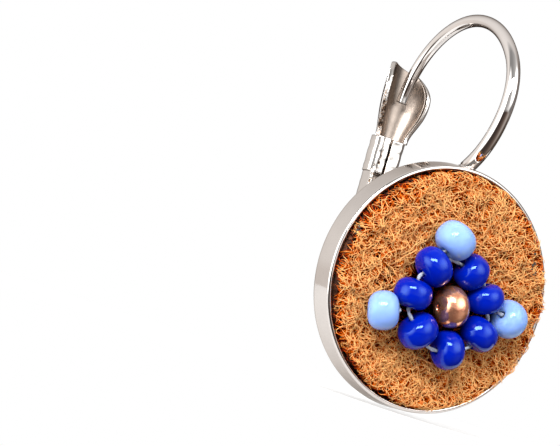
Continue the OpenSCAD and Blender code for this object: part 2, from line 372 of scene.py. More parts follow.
foot_y, foot_z, foot_heading, foot_r = stations[0]
cut_end = [slid_back(stations[-1], back, scale) for back, scale in CUT_RINGS]
stations = [slid_back(stations[0], FOOT_BURIED)] + stations[:-1] + cut_end
turns = np.linspace(0, 2 * math.pi, WIRE_SIDES, endpoint=False)
wire_points = np.concatenate([
    np.stack([r * np.cos(turns), y - r * np.sin(turns) * math.sin(h), z + r * np.sin(turns) * math.cos(h)], 1)
    for y, z, h, r in stations])
ear_wire = add_piece("ear_wire", wire_points, capped_faces(len(stations), WIRE_SIDES),
                     EARRING, "polished_metal", "tray_and_ear_wire")

# %% [markdown]
# The solder that holds the wire is drawn by heat into a thin hollow ring round its foot. It is made from the
# wire's own straight lines: each one meets the wall somewhere, and the ring climbs from there, a little
# wider than the wire at first, to a little way up the wire.

# %% Solder ring
SOLDER_SPREAD = 0.10
SOLDER_DRAWN_IN = 0.01
SOLDER_CLIMB = 0.14
SOLDER_SUNK = 0.03
SOLDER_ROOT = 0.12
SOLDER_ROWS = 6
WALL_MIDDLE_Y = 1.2

wall_r = TRAY_R + (TRAY_BACK_R - TRAY_R) * (WALL_MIDDLE_Y - LIP_R) / (edge_y - LIP_R)
foot_way = np.array([0.0, math.cos(foot_heading), math.sin(foot_heading)])
foot_across = np.array([0.0, -math.sin(foot_heading), math.cos(foot_heading)])
solder_rows = []
for row in range(SOLDER_ROWS):
    share = row / (SOLDER_ROWS - 1)
    reach = foot_r + SOLDER_SPREAD * (1 - share) ** 2 - SOLDER_DRAWN_IN * share
    ring = []
    for a in turns:
        side = np.array([reach * math.cos(a), 0, 0]) + reach * math.sin(a) * foot_across
        base = np.array([0, foot_y, foot_z]) + side
        down = (base[2] - math.sqrt(wall_r ** 2 - base[0] ** 2)) / foot_way[2]
        ring.append(base - foot_way * (down + SOLDER_SUNK - (SOLDER_CLIMB + SOLDER_SUNK) * share))
    solder_rows.append(ring)
solder_rows.insert(0, [point - [0, 0, SOLDER_ROOT] for point in solder_rows[0]])
solder_faces = capped_faces(len(solder_rows), WIRE_SIDES)
solder_ring = add_piece("solder_ring", np.concatenate(solder_rows), solder_faces,
                        EARRING, "polished_metal", "tray_and_ear_wire")

# %% [markdown]
# ## The strip behind the tray
# Behind the tray a flat strip is soldered on by a small foot plate. It runs straight back, turns up in one
# bend and ends in an eye for the hinge rivet. The strip is swept with a flat, round-cornered outline, which
# is how such a strip looks once it is cut, bent and polished. Nothing of it shows in the photo, so it is
# plain.

# %% Hinge strip
HINGE = (12.75, 3.6)
STRIP_W = 1.5
STRIP_T = 0.7
STRIP_Z = -0.9
STRIP_BEND_R = 1.6
STRIP_EDGE_R = 0.14
STRIP_START_Y = 2.3
STRIP_RUN_Y = 3.2


def flat_outline(width, thickness, radius):
    """A rectangle with round corners, as points round its middle."""
    w = width / 2 - radius
    t = thickness / 2 - radius
    corners = arc((w, t), radius, 0, 90, 5) + arc((-w, t), radius, 90, 180, 5)
    corners += arc((-w, -t), radius, 180, 270, 5) + arc((w, -t), radius, 270, 360, 5)
    return np.array(corners)


bend_y = HINGE[0] - STRIP_BEND_R
bend_z = STRIP_Z + STRIP_BEND_R
line = [(STRIP_START_Y, STRIP_Z, 0.0)]
line += [(y, STRIP_Z, 0.0) for y in np.linspace(STRIP_RUN_Y, bend_y, 8)]
for angle in np.radians(np.linspace(0, 90, 15))[1:]:
    line.append((bend_y + STRIP_BEND_R * math.sin(angle), bend_z - STRIP_BEND_R * math.cos(angle), angle))
line += [(HINGE[0], z, math.pi / 2) for z in np.linspace(bend_z, HINGE[1], 5)[1:]]
section = flat_outline(STRIP_W, STRIP_T, STRIP_EDGE_R)
strip_points = np.concatenate([
    np.stack([section[:, 0], y - section[:, 1] * math.sin(h), z + section[:, 1] * math.cos(h)], 1)
    for y, z, h in line])
strip_mesh = (strip_points, capped_faces(len(line), len(section)))

# %% [markdown]
# The eye and, further on, the rivet and the lever's ears are all turned round a line along X, so they share
# one helper. The foot plate is an outline carried straight back and drawn in a little at its top edge.

# %% Eye and foot plate
EYE_R = 0.68
EYE_EDGE_R = 0.12
EYE_HUB_R = 0.1
FOOT_W = 3.0
FOOT_H = 5.0
FOOT_T = 0.5
FOOT_CORNER_R = 0.5
# Each row gives how far a ring lies below the plate's top, and its size as a share of the plate's.
FOOT_RINGS = [(0.14, 1.0), (0.05, 0.975), (0.0, 0.93), (0.0, 0.6)]
TURNED_SIDES = 48


def turned(profile, middle):
    """A shape turned round a line along X, from points of distance along it and radius."""
    around = np.linspace(0, 2 * math.pi, TURNED_SIDES, endpoint=False)
    rings = []
    for x, r in profile:
        rings.append(np.stack([np.full(TURNED_SIDES, x), middle[0] + r * np.cos(around),
                               middle[1] + r * np.sin(around)], 1))
    return np.concatenate(rings), capped_faces(len(profile), TURNED_SIDES)


eye_half = STRIP_W / 2
eye_profile = [(-eye_half, EYE_HUB_R), (-eye_half, EYE_R - EYE_EDGE_R)]
eye_profile += arc((EYE_EDGE_R - eye_half, EYE_R - EYE_EDGE_R), EYE_EDGE_R, 180, 90, 5)
eye_profile += [(-x, r) for x, r in reversed(eye_profile)]

plate = flat_outline(FOOT_W, FOOT_H, FOOT_CORNER_R)
plate_rows = [(STRIP_START_Y, 1.0)] + [(BACK_Y + FOOT_T - below, scale) for below, scale in FOOT_RINGS]
plate_points = np.concatenate([
    np.stack([plate[:, 0] * scale, np.full(len(plate), y), STRIP_Z + plate[:, 1] * scale], 1)
    for y, scale in plate_rows])
plate_mesh = (plate_points, capped_faces(len(plate_rows), len(plate)))
strip_all = join_meshes([strip_mesh, turned(eye_profile, HINGE), plate_mesh])
hinge_strip = add_piece("hinge_strip", *strip_all, EARRING, "polished_metal", "tray_and_ear_wire")

# %% [markdown]
# The rivet is a short pin with two low domed heads, turned round the hinge's line.

# %% Hinge rivet
HEAD_X = 1.20
HEAD_R = 0.52
HEAD_T = 0.18
HEAD_TIP_R = 0.06
PIN_R = 0.3

half_rivet = [(0.0, PIN_R), (HEAD_X, PIN_R)]
for a in np.linspace(0, math.pi / 2, 9):
    half_rivet.append((HEAD_X + HEAD_T * math.sin(a), HEAD_TIP_R + (HEAD_R - HEAD_TIP_R) * math.cos(a)))
rivet_profile = [(-x, r) for x, r in reversed(half_rivet[1:])] + half_rivet
hinge_rivet = add_piece("hinge_rivet", *turned(rivet_profile, HINGE), EARRING, "polished_metal", "hinge_pin")

# %% [markdown]
# ## The lever
# The lever is pressed from one sheet, 0.35 mm thick: a channel that straddles the hinge, a sleeve folded shut
# at the front, and a spoon that takes the wire's end. A Solidify modifier on a flat sheet could make it, but
# its cut edges matter here: they are what shines in the photo. So the sheet is built as rings that run along
# its back, round one cut edge, along its front and round the other, with the ends drawn in a little.

# %% Sheet metal helper
SHEET = 0.35
LEVER_LEAN = math.radians(4.5)
EDGE_TURNS = (30, 60, 90, 120, 150)
EDGE_BULGE = 0.45
END_THIN = 0.62
NEXT_THIN = 0.93


def from_lever(points):
    """The lever's own frame, with its zero at the hinge, to the tray's frame."""
    p = np.asarray(points, float)
    y = p[..., 1] * math.cos(LEVER_LEAN) + p[..., 2] * math.sin(LEVER_LEAN)
    z = p[..., 2] * math.cos(LEVER_LEAN) - p[..., 1] * math.sin(LEVER_LEAN)
    return np.stack([p[..., 0], y + HINGE[0], z + HINGE[1]], -1)


def cut_edge(spot, outward, beyond, half):
    """Points round a cut edge of the sheet, from its back to its front."""
    beyond = beyond / np.linalg.norm(beyond)
    bulge = SHEET / 2 * EDGE_BULGE
    return [spot + half * math.cos(a) * outward + bulge * math.sin(a) * beyond
            for a in np.radians(EDGE_TURNS)]


def sheet_metal(middle, outward):
    """A sheet from rows of points along its middle, and the way that its back faces at each."""
    rows, columns, _ = middle.shape
    full = np.ones(rows)
    full[[0, -1]] = END_THIN
    full[[1, -2]] = NEXT_THIN
    rings = []
    for r in range(rows):
        half = SHEET / 2 * full[r]
        back = middle[r] + outward[r] * half
        front = middle[r] - outward[r] * half
        last_edge = cut_edge(middle[r, -1], outward[r, -1], middle[r, -1] - middle[r, -2], half)
        first_edge = cut_edge(middle[r, 0], -outward[r, 0], middle[r, 0] - middle[r, 1], half)
        rings.append(np.concatenate([back, last_edge, front[::-1], first_edge]))
    sides = len(rings[0])
    faces = ring_faces(rows, sides).tolist()
    edge_points = len(EDGE_TURNS)
    for start, flip in ((0, False), ((rows - 1) * sides, True)):
        strips = []
        for c in range(columns - 1):
            front_c = 2 * columns + edge_points - 1 - c
            strips.append([start + c, start + c + 1, start + front_c - 1, start + front_c])
        strips.append([start + k for k in range(columns - 1, columns + edge_points + 1)])
        strips.append([start + k % sides for k in range(2 * columns + edge_points - 1, sides + 1)])
        faces.extend([face[::-1] if flip else face for face in strips])
    edge = np.zeros((rows, sides))
    edge[:, columns:columns + edge_points] = 1
    edge[:, -edge_points:] = 1
    edge[[0, -1], :] = 1
    inner = np.zeros((rows, sides))
    inner[:, columns + edge_points:2 * columns + edge_points] = 1
    return np.concatenate(rings), faces, edge.ravel(), inner.ravel()


def close_ends(count):
    """Shares from 0 to 1 with extra ones next to both ends, to hold a crisp edge."""
    inner = np.linspace(0, 1, count)[1:-1]
    return np.concatenate([[0, 0.012, 0.035], inner, [0.965, 0.988, 1]])

# %% [markdown]
# The spoon's rows are the CAD table's: height above the hinge, half width, depth of the curl, how far it lies
# behind the lever's back, and how much the row slopes down to one side. A smooth curve through the table
# fills in the rows between, so that the sheet bulges without facets.

# %% Spoon
LEVER_BACK = 1.15
SPOON_ROWS = 56
SPOON_COLUMNS = 34
TORN_TOP = 10.4
TORN_FADE = 1.6
RIGHT_TEAR = 0.25
SPOON_TABLE = np.array([
    [6.30, 1.38, 1.24, 0.04, 0.00],
    [6.70, 1.44, 1.18, 0.05, 0.00],
    [7.20, 1.56, 1.26, 0.06, 0.00],
    [7.80, 1.74, 1.48, 0.08, 0.00],
    [8.50, 1.92, 1.72, 0.10, 0.00],
    [9.30, 2.03, 1.84, 0.12, 0.02],
    [10.10, 2.04, 1.82, 0.14, 0.05],
    [10.70, 1.96, 1.60, 0.15, 0.08],
    [11.20, 1.82, 1.25, 0.16, 0.12],
    [11.55, 1.64, 0.90, 0.17, 0.15],
    [11.80, 1.46, 0.62, 0.18, 0.18],
    [11.92, 1.25, 0.45, 0.18, 0.20]])


def on_curve(a, b, c, d, t):
    """A point between b and c on the smooth curve through four points."""
    return 0.5 * (2 * b + (c - a) * t + (2 * a - 5 * b + 4 * c - d) * t * t
                  + (3 * b - a - 3 * c + d) * t ** 3)


def smooth_rows(table, count):
    """Rows between those of a table, on a smooth curve through it."""
    padded = np.concatenate([2 * table[:1] - table[1:2], table, 2 * table[-1:] - table[-2:-1]])
    rows = []
    for s in close_ends(count) * (len(table) - 1):
        k = min(int(s), len(table) - 2)
        rows.append(on_curve(*padded[k:k + 4], s - k))
    return np.array(rows)


spoon_rows = smooth_rows(SPOON_TABLE, SPOON_ROWS)
spoon_shares = close_ends(SPOON_COLUMNS) * 2 - 1
spoon_middle = []
spoon_outward = []
for height, half_w, curl, behind, slope in spoon_rows:
    bend_r = (half_w ** 2 + curl ** 2) / (2 * curl)
    half_turn = 2 * math.atan(curl / half_w)
    centre_y = LEVER_BACK + behind - bend_r
    angle = half_turn * spoon_shares
    facing = np.stack([np.sin(angle), np.cos(angle), np.zeros_like(angle)], 1)
    level = height - slope * bend_r * np.sin(angle)
    line_r = bend_r - SHEET / 2
    spoon_middle.append(np.stack([line_r * facing[:, 0], centre_y + line_r * facing[:, 1], level], 1))
    spoon_outward.append(facing)
spoon_sheet = sheet_metal(np.array(spoon_middle), np.array(spoon_outward))
spoon_points, spoon_faces, spoon_edge, spoon_inner = spoon_sheet
lever_spoon = add_piece("lever_spoon", from_lever(spoon_points), spoon_faces,
                        LEVER, "polished_metal", "lever")
set_mark(lever_spoon, "inside", spoon_inner)
torn_rows = np.clip((TORN_TOP - spoon_points[:, 2]) / TORN_FADE, 0, 1)
left_half = spoon_points[:, 0] < 0
set_mark(lever_spoon, "torn", spoon_edge * np.where(left_half, torn_rows, RIGHT_TEAR * torn_rows))
print("spoon", len(spoon_rows), "rows of", len(spoon_shares))

# %% [markdown]
# The sleeve is the same sheet folded into a flat tube that is open along a slit at the front. Its outline is
# followed once round from one lip of the slit to the other, and stood up between two heights.

# %% Sleeve
SLEEVE_W = 2.6
SLEEVE_DEEP = 1.35
SLIT_W = 0.3
SLEEVE_LOW = 3.55
SLEEVE_HIGH = 6.4
SLEEVE_ROWS = 18
FOLD_R = 0.4 - SHEET / 2
SAME_SPOT = 1e-4
PINCH = 0.02
FINE_PINCH = 0.012
END_RISE = 0.03
END_SAG = 0.05
SCAR_X = -0.62
SCAR_W = 0.10
FRONT_SKIN = 0.2
SLEEVE_TEAR = 0.35


def fold(centre, radius, start, end, steps):
    """Points of a fold in the sheet, each with the way that it faces."""
    facings = arc((0, 0), 1, start, end, steps)
    return [((centre[0] + radius * x, centre[1] + radius * y), (x, y)) for x, y in facings]


def mirrored(spots):
    """The same points on the other side, in the opposite order."""
    return [((-x, y), (-facing_x, facing_y)) for (x, y), (facing_x, facing_y) in reversed(spots)]


def every_row(facings, rows):
    """The ways that an outline's points face, for each row of a sheet that stands on it."""
    level = np.stack([facings[:, 0], facings[:, 1], np.zeros(len(facings))], 1)
    return np.repeat(level[None], rows, 0)


sleeve_front = LEVER_BACK - SLEEVE_DEEP + SHEET / 2
sleeve_back = LEVER_BACK - SHEET / 2
fold_x = FOLD_R - (SLEEVE_W / 2 - SHEET / 2)
sleeve_spots = [((x, sleeve_front), (0, -1)) for x in np.linspace(-SLIT_W / 2, fold_x, 17)]
sleeve_spots += fold((fold_x, sleeve_front + FOLD_R), FOLD_R, -90, -180, 9)
sleeve_spots += fold((fold_x, sleeve_back - FOLD_R), FOLD_R, -180, -270, 9)
sleeve_spots += [((x, sleeve_back), (0, 1)) for x in np.linspace(fold_x, 0, 6)[1:]]
sleeve_spots += mirrored(sleeve_spots[:-1])
kept_spots = sleeve_spots[:1]
for spot in sleeve_spots[1:]:
    if math.dist(spot[0], kept_spots[-1][0]) > SAME_SPOT:
        kept_spots.append(spot)
sleeve_line = np.array([spot for spot, facing in kept_spots])
sleeve_facing = np.array([facing for spot, facing in kept_spots])

along_fold = np.arange(len(sleeve_line)) / (len(sleeve_line) - 1)
sleeve_middle = []
for share in close_ends(SLEEVE_ROWS):
    z = SLEEVE_LOW + share * (SLEEVE_HIGH - SLEEVE_LOW)
    pinch = PINCH * np.sin(3.1 * z + 9 * along_fold) + FINE_PINCH * np.sin(7.3 * z - 5 * along_fold)
    rise = END_RISE * np.sin(11 * along_fold + 1.0) * share
    sag = END_SAG * np.sin(7 * along_fold) * (1 - share)
    spots = sleeve_line - sleeve_facing * np.abs(pinch)[:, None]
    sleeve_middle.append(np.stack([spots[:, 0], spots[:, 1], z + rise + sag], 1))
sleeve_sheet = sheet_metal(np.array(sleeve_middle), every_row(sleeve_facing, len(sleeve_middle)))
sleeve_points, sleeve_faces, sleeve_edge, sleeve_inner = sleeve_sheet
lever_sleeve = add_piece("lever_sleeve", from_lever(sleeve_points), sleeve_faces,
                         LEVER, "polished_metal", "lever")
set_mark(lever_sleeve, "inside", sleeve_inner)
on_front = sleeve_points[:, 1] < LEVER_BACK - SLEEVE_DEEP + FRONT_SKIN
scar = np.exp(-((sleeve_points[:, 0] - SCAR_X) / SCAR_W) ** 2) * on_front
set_mark(lever_sleeve, "torn", np.maximum(scar, SLEEVE_TEAR * sleeve_edge))

# %% [markdown]
# Below the sleeve the sheet opens into a channel with a back plate and two flanges, each of which ends in a
# round ear over the rivet. The channel is one folded line, and the ears are turned discs.

# %% Channel and ears
CHANNEL_IN = STRIP_W / 2 + 0.06
CHANNEL_FRONT = -0.3
CHANNEL_LOW = 0.5
CHANNEL_HIGH = SLEEVE_LOW + 0.2
CHANNEL_ROWS = 14
CHANNEL_FOLD_R = 0.2
PLATE_BEHIND = 0.04
PLATE_FLAT_X = 0.3
CHANNEL_RIPPLE = 0.018
CHANNEL_TEAR = 0.6
EAR_R = 0.8
EAR_HUB_R = 0.32
EAR_SOFT = 0.07

plate_y = LEVER_BACK + PLATE_BEHIND - SHEET / 2
side_x = CHANNEL_IN + SHEET / 2
fold_centre = (CHANNEL_FOLD_R - side_x, plate_y - CHANNEL_FOLD_R)
channel_spots = [((-side_x, y), (-1, 0)) for y in np.linspace(CHANNEL_FRONT, fold_centre[1], 8)]
channel_spots += fold(fold_centre, CHANNEL_FOLD_R, 180, 90, 7)[1:]
channel_spots.append(((-PLATE_FLAT_X, plate_y), (0, 1)))
channel_spots += mirrored(channel_spots)
channel_line = np.array([spot for spot, facing in channel_spots])
channel_facing = np.array([facing for spot, facing in channel_spots])
channel_middle = []
for share in close_ends(CHANNEL_ROWS):
    z = CHANNEL_LOW + share * (CHANNEL_HIGH - CHANNEL_LOW)
    ripple = CHANNEL_RIPPLE * np.sin(4.7 * z + 3 * channel_line[:, 1])
    spots = channel_line - channel_facing * np.abs(ripple)[:, None]
    channel_middle.append(np.stack([spots[:, 0], spots[:, 1], np.full(len(spots), z)], 1))
channel_sheet = sheet_metal(np.array(channel_middle), every_row(channel_facing, len(channel_middle)))
sheet_points, sheet_faces, sheet_edge, sheet_inner = channel_sheet


def ear_disc(side):
    """A flat round ear on the hinge's line, with soft edges, on the right (1) or the left (-1)."""
    outer_x = CHANNEL_IN + SHEET
    profile = [(CHANNEL_IN, EAR_HUB_R), (CHANNEL_IN, EAR_R - EAR_SOFT)]
    profile += arc((CHANNEL_IN + EAR_SOFT, EAR_R - EAR_SOFT), EAR_SOFT, 180, 90, 4)
    profile += arc((outer_x - EAR_SOFT, EAR_R - EAR_SOFT), EAR_SOFT, 90, 0, 4)
    profile += [(outer_x, EAR_R - EAR_SOFT), (outer_x, EAR_HUB_R)]
    return turned([(side * x, r) for x, r in profile], (0, 0))


channel_parts = [(sheet_points, sheet_faces), ear_disc(1), ear_disc(-1)]
channel_points, channel_faces = join_meshes(channel_parts)
lever_channel = add_piece("lever_channel", from_lever(channel_points), channel_faces,
                          LEVER, "polished_metal", "lever")
no_marks = np.zeros(len(channel_points) - len(sheet_points))
set_mark(lever_channel, "torn", np.concatenate([CHANNEL_TEAR * sheet_edge, no_marks]))
set_mark(lever_channel, "inside", np.concatenate([sheet_inner, no_marks]))

# %% [markdown]
# ## The glass beads
# Each bead is a short length of drawn glass tube, tumbled hot until its edges melt round. Turning a fat
# half-round section about the hole gives exactly that. A bead is never quite even, so a slow wave of about a
# hundredth of a millimetre is pressed into each, with its own seed.

# %% Bead helper
PAD_PROUD = 0.55
BEAD_LIFT = 0.04
FLOWER_X = 0.06
FLOWER_Z = -0.9
HOLE_R = 0.26
BEAD_SIDES = 64
BEAD_SQUARENESS = 2.35
SECTION_POINTS = 37
SECTION_REACH = 84
BORE_FLARE = 0.02
BORE_STRAIGHT = 0.12
SKIN_R = HOLE_R + 0.1
OVAL = 0.007
THREE_SIDED = 0.003
LEAN = 0.012


def bead_axes(hole_turn, hole_lift):
    """Three directions of a bead on the pad: two across its hole and one along it."""
    turn_angle = math.radians(hole_turn)
    lift_angle = math.radians(hole_lift)
    along = np.array([math.cos(lift_angle) * math.cos(turn_angle), math.sin(lift_angle),
                      math.cos(lift_angle) * math.sin(turn_angle)])
    side = np.cross(along, [0, 1, 0])
    side /= np.linalg.norm(side)
    return side, np.cross(along, side), along


def bead_centre(angle, out, diameter):
    """Where a bead that rests on the pad has its middle."""
    turn_angle = math.radians(angle)
    return np.array([FLOWER_X + out * math.cos(turn_angle), -PAD_PROUD - BEAD_LIFT - diameter / 2,
                     FLOWER_Z + out * math.sin(turn_angle)])


def bead_mesh(centre, axes, length, diameter, seed):
    """A melted-edge bead round its hole."""
    fullness = 2 / BEAD_SQUARENESS
    profile = []
    for a in np.radians(np.linspace(-SECTION_REACH, SECTION_REACH, SECTION_POINTS)):
        radius = HOLE_R + (diameter / 2 - HOLE_R) * abs(math.cos(a)) ** fullness
        profile.append((radius, math.copysign(length / 2 * abs(math.sin(a)) ** fullness, a)))
    top = profile[-1][1]
    profile += [(HOLE_R + BORE_FLARE, top - BORE_FLARE), (HOLE_R, top - BORE_STRAIGHT), (HOLE_R, 0.0),
                (HOLE_R, BORE_STRAIGHT - top), (HOLE_R + BORE_FLARE, BORE_FLARE - top)]
    around = np.linspace(0, 2 * math.pi, BEAD_SIDES, endpoint=False)
    phase = np.random.default_rng(seed).uniform(0, 2 * math.pi, 3)
    rings = []
    for radius, along in profile:
        wave = 1 + OVAL * np.sin(2 * around + phase[0] + along) * (radius > SKIN_R)
        wave = wave + THREE_SIDED * np.sin(3 * around + phase[1]) * (radius > SKIN_R)
        lean = LEAN * np.sin(around + phase[2]) * along
        local = np.stack([radius * wave * np.cos(around), radius * wave * np.sin(around),
                          along + lean * radius], 1)
        rings.append(centre + local @ np.array(axes))
    faces = ring_faces(len(rings), BEAD_SIDES).tolist()
    last = (len(rings) - 1) * BEAD_SIDES
    for j in range(BEAD_SIDES):
        after = (j + 1) % BEAD_SIDES
        faces.append([last + j, last + after, after, j])
    return np.concatenate(rings), faces


# %% [markdown]
# The table of blue beads gives each one's angle in the flower, its distance from the middle, its length along
# the hole and its diameter. Their holes run round the flower, because one thread strings them in a ring.

# %% Blue beads
BLUE_SEED = 40
BLUE_BEADS = [
    (135.6, 3.28, 2.12, 3.00),
    (73, 2.96, 2.08, 2.70),
    (27, 3.00, 2.06, 2.74),
    (339, 3.28, 2.22, 2.80),
    (288, 3.12, 2.06, 2.86),
    (231, 3.02, 2.20, 2.94),
    (179.3, 3.20, 2.12, 2.80)]

blue_pieces = []
for number, (angle, out, length, diameter) in enumerate(BLUE_BEADS, start=1):
    middle = bead_centre(angle, out, diameter)
    shape = bead_mesh(middle, bead_axes(angle + 90, 0), length, diameter, BLUE_SEED + number)
    blue_pieces.append(add_piece(f"blue_glass_{number}", *shape,
                                 EARRING, "cobalt_glass", f"blue_bead_{number}"))

# %% [markdown]
# The sky blue beads sit outside the ring, each sewn down by itself. Their table adds the way that the hole's
# outer end points, and how far that end dips towards the pad.

# %% Sky blue beads
SKY_SEED = 60
SKY_BEADS = [
    (106, 4.76, 2.32, 2.98, 60, 4),
    (6, 5.06, 2.16, 2.80, -9, 24),
    (199, 5.38, 2.24, 2.82, 198, 28)]

sky_pieces = []
for number, (angle, out, length, diameter, hole_turn, hole_lift) in enumerate(SKY_BEADS, start=1):
    middle = bead_centre(angle, out, diameter)
    shape = bead_mesh(middle, bead_axes(hole_turn, hole_lift), length, diameter, SKY_SEED + number)
    sky_pieces.append(add_piece(f"sky_glass_{number}", *shape, EARRING, "sky_glass", f"sky_bead_{number}"))

# %% [markdown]
# ## The copper bead
# The middle bead looks cut with facets at first. Its scalloped dark rim is in fact the seven blue beads,
# mirrored in a smooth round skin of copper-coloured metal. So it is made like the glass beads, and left to
# mirror its neighbours by itself. It lies flat on the pad with its hole pointing a little up to the right.

# %% Copper bead
COPPER_D = 3.0
COPPER_LENGTH = 2.2
COPPER_TURN = 20
COPPER_SHIFT_X = 0.08
COPPER_SHIFT_Z = 0.02
COPPER_SEED = 71

copper_centre = bead_centre(0, 0, COPPER_D) + [COPPER_SHIFT_X, 0, COPPER_SHIFT_Z]
copper_axes = bead_axes(COPPER_TURN, 0)
copper_shape = bead_mesh(copper_centre, copper_axes, COPPER_LENGTH, COPPER_D, COPPER_SEED)
copper_round = add_piece("copper_round", *copper_shape, EARRING, "copper_metal", "copper_bead")

# %% [markdown]
# ## The beading thread
# The thread is two plies twisted together, about 0.28 mm thick. One loop runs through the blue beads. Each
# light blue bead has its own stitch, which turns in under the bead at one end and leads under the flower at
# the other. The copper bead's thread only shows inside its hole. Two thin tubes wound round a shared path
# show the twist, which a single smooth tube would not.

# %% Thread
PLY_R = 0.10
PLY_OUT = 0.04
PLY_PITCH = 1.3
PLY_SIDES = 8
THREAD_STEP = 0.06
LOOP_REACH = 0.45
COPPER_REACH = 0.32
INNER_OUT = 0.05
INNER_REACH = 0.8
DIVE_Y = 0.3
# Directions that no path here runs along. A tube's first corner and the first ply start square to them.
TUBE_GUIDE = [0.31, 0.87, 0.38]
PLY_GUIDE = [0.05, 0.99, 0.02]


def smooth_path(corners, spacing, closed=False):
    """A smooth path through corners, as points about evenly far apart."""
    c = np.asarray(corners, float)
    before = np.roll(c, 1, 0) if closed else np.concatenate([2 * c[:1] - c[1:2], c[:-1]])
    after = np.roll(c, -1, 0) if closed else np.concatenate([c[1:], 2 * c[-1:] - c[-2:-1]])
    after2 = np.roll(c, -2, 0) if closed else np.concatenate([after[1:], after[-1:]])
    points = []
    for k in range(len(c) if closed else len(c) - 1):
        steps = max(2, int(np.linalg.norm(after[k] - c[k]) / spacing))
        for t in np.arange(steps) / steps:
            points.append(on_curve(before[k], c[k], after[k], after2[k], t))
    if not closed:
        points.append(c[-1])
    return np.array(points)


def round_tube(path, radii, sides):
    """A tube along a path in space, with flat ends."""
    way = np.gradient(path, axis=0)
    way /= np.linalg.norm(way, axis=1)[:, None]
    normal = np.cross(way[0], TUBE_GUIDE)
    rings = []
    turn_round = np.linspace(0, 2 * math.pi, sides, endpoint=False)
    for p, w, r in zip(path, way, radii):
        normal = normal - w * np.dot(normal, w)
        normal /= np.linalg.norm(normal)
        other = np.cross(w, normal)
        rings.append(p + r * (np.cos(turn_round)[:, None] * normal + np.sin(turn_round)[:, None] * other))
    return np.concatenate(rings), capped_faces(len(path), sides)


def twisted(path):
    """Two plies wound round a path."""
    way = np.gradient(path, axis=0)
    way = way / np.linalg.norm(way, axis=1)[:, None]
    run = np.concatenate([[0], np.cumsum(np.linalg.norm(np.diff(path, axis=0), axis=1))])
    first = np.cross(way, PLY_GUIDE)
    first /= np.linalg.norm(first, axis=1)[:, None]
    second = np.cross(way, first)
    meshes = []
    for phase in (0, math.pi):
        spin = 2 * math.pi * run / PLY_PITCH + phase
        line_points = path + PLY_OUT * (np.cos(spin)[:, None] * first + np.sin(spin)[:, None] * second)
        meshes.append(round_tube(line_points, np.full(len(path), PLY_R), PLY_SIDES))
    return meshes


def stitch(middle, along, length):
    """Corners of a stitch through one bead, up round its outer end and down under the flower."""
    inner = middle - (0.5 * length + INNER_OUT) * along
    inner_dive = inner - INNER_REACH * along
    inner_dive[1] = 0.5 * (inner[1] + DIVE_Y)
    return [[middle[0], DIVE_Y, middle[2]],
            middle + 0.22 * length * along + [0, 0.9, 0],
            middle + 0.36 * length * along + [0, 0.1, 0],
            middle,
            middle - 0.4 * length * along,
            inner + [0, 0.1, 0],
            inner_dive]


loop_corners = []
for angle, out, length, diameter in BLUE_BEADS:
    middle = bead_centre(angle, out, diameter)
    along = bead_axes(angle + 90, 0)[2]
    loop_corners.append(middle + LOOP_REACH * length * along)
    loop_corners.append(middle - LOOP_REACH * length * along)
paths = [smooth_path(loop_corners[::-1], THREAD_STEP, closed=True)]
for angle, out, length, diameter, hole_turn, hole_lift in SKY_BEADS:
    hole_way = bead_axes(hole_turn, hole_lift)[2]
    paths.append(smooth_path(stitch(bead_centre(angle, out, diameter), hole_way, length), THREAD_STEP))
copper_half = COPPER_REACH * COPPER_LENGTH * copper_axes[2]
copper_corners = [copper_centre - copper_half, copper_centre, copper_centre + copper_half]
paths.append(smooth_path(copper_corners, THREAD_STEP))
thread_points, thread_faces = join_meshes([mesh for path in paths for mesh in twisted(path)])
twisted_thread = add_piece("twisted_thread", thread_points, thread_faces,
                           EARRING, "beading_thread", "bead_thread")

# %% [markdown]
# ## The fibre pad
# The pad is a wad of crinkled fibre, felted loosely, with dark hollows between the fibres. It is made in
# steps. First comes the shape of its surface: flat, lumpy at the scale of a millimetre, sloping down to
# the tray's wall, and pulled in by the thread under the flower and under every single bead. The core follows
# that shape a little deeper and closes the view downwards. A displaced sheet alone would look like clay, so
# fibres come over it.

# %% Pad surface and core
PAD_BACK_Y = 1.9
SLOPE_START = 8.3
SLOPE_END = 8.6
OVERHANG = 0.08
OVERHANG_FROM = 15
OVERHANG_SPAN = 34
LUMP_COUNT = 60
LUMP_HIGH = 0.12
LUMP_PACE = 3.6
BEAD_PULL = 0.5
PULL_R = 1.2
HOLLOW_R = 3.35
HOLLOW_EDGE = 0.2
HOLLOW_DEEP = 0.75
CORE_DEPTH = 0.52
CORE_R = SLOPE_END - 0.25
CORE_HUB_R = 0.2
CORE_RINGS = 44
CORE_BACK_RINGS = (CORE_R, 4.0, CORE_HUB_R)
CORE_SIDES = 150
luck = np.random.default_rng(11)
lump_ways = luck.normal(0, LUMP_PACE, (LUMP_COUNT, 2))
lump_phases = luck.uniform(0, 2 * math.pi, LUMP_COUNT)
sewn_spots = [bead_centre(row[0], row[1], row[3])[[0, 2]] for row in SKY_BEADS]


def flower_hollow(x, z):
    """How far the thread pulls the pad in under the flower, from 0 to 1."""
    far = np.hypot(x - FLOWER_X, z - FLOWER_Z)
    return 1 / (1 + np.exp((far - HOLLOW_R) / HOLLOW_EDGE))


def hang_out(x, z):
    """How far the pad hangs out over the tray's lip, which it does on the right."""
    off = (np.degrees(np.arctan2(z, x)) - OVERHANG_FROM + 180) % 360 - 180
    return OVERHANG * np.exp(-(off / OVERHANG_SPAN) ** 2)


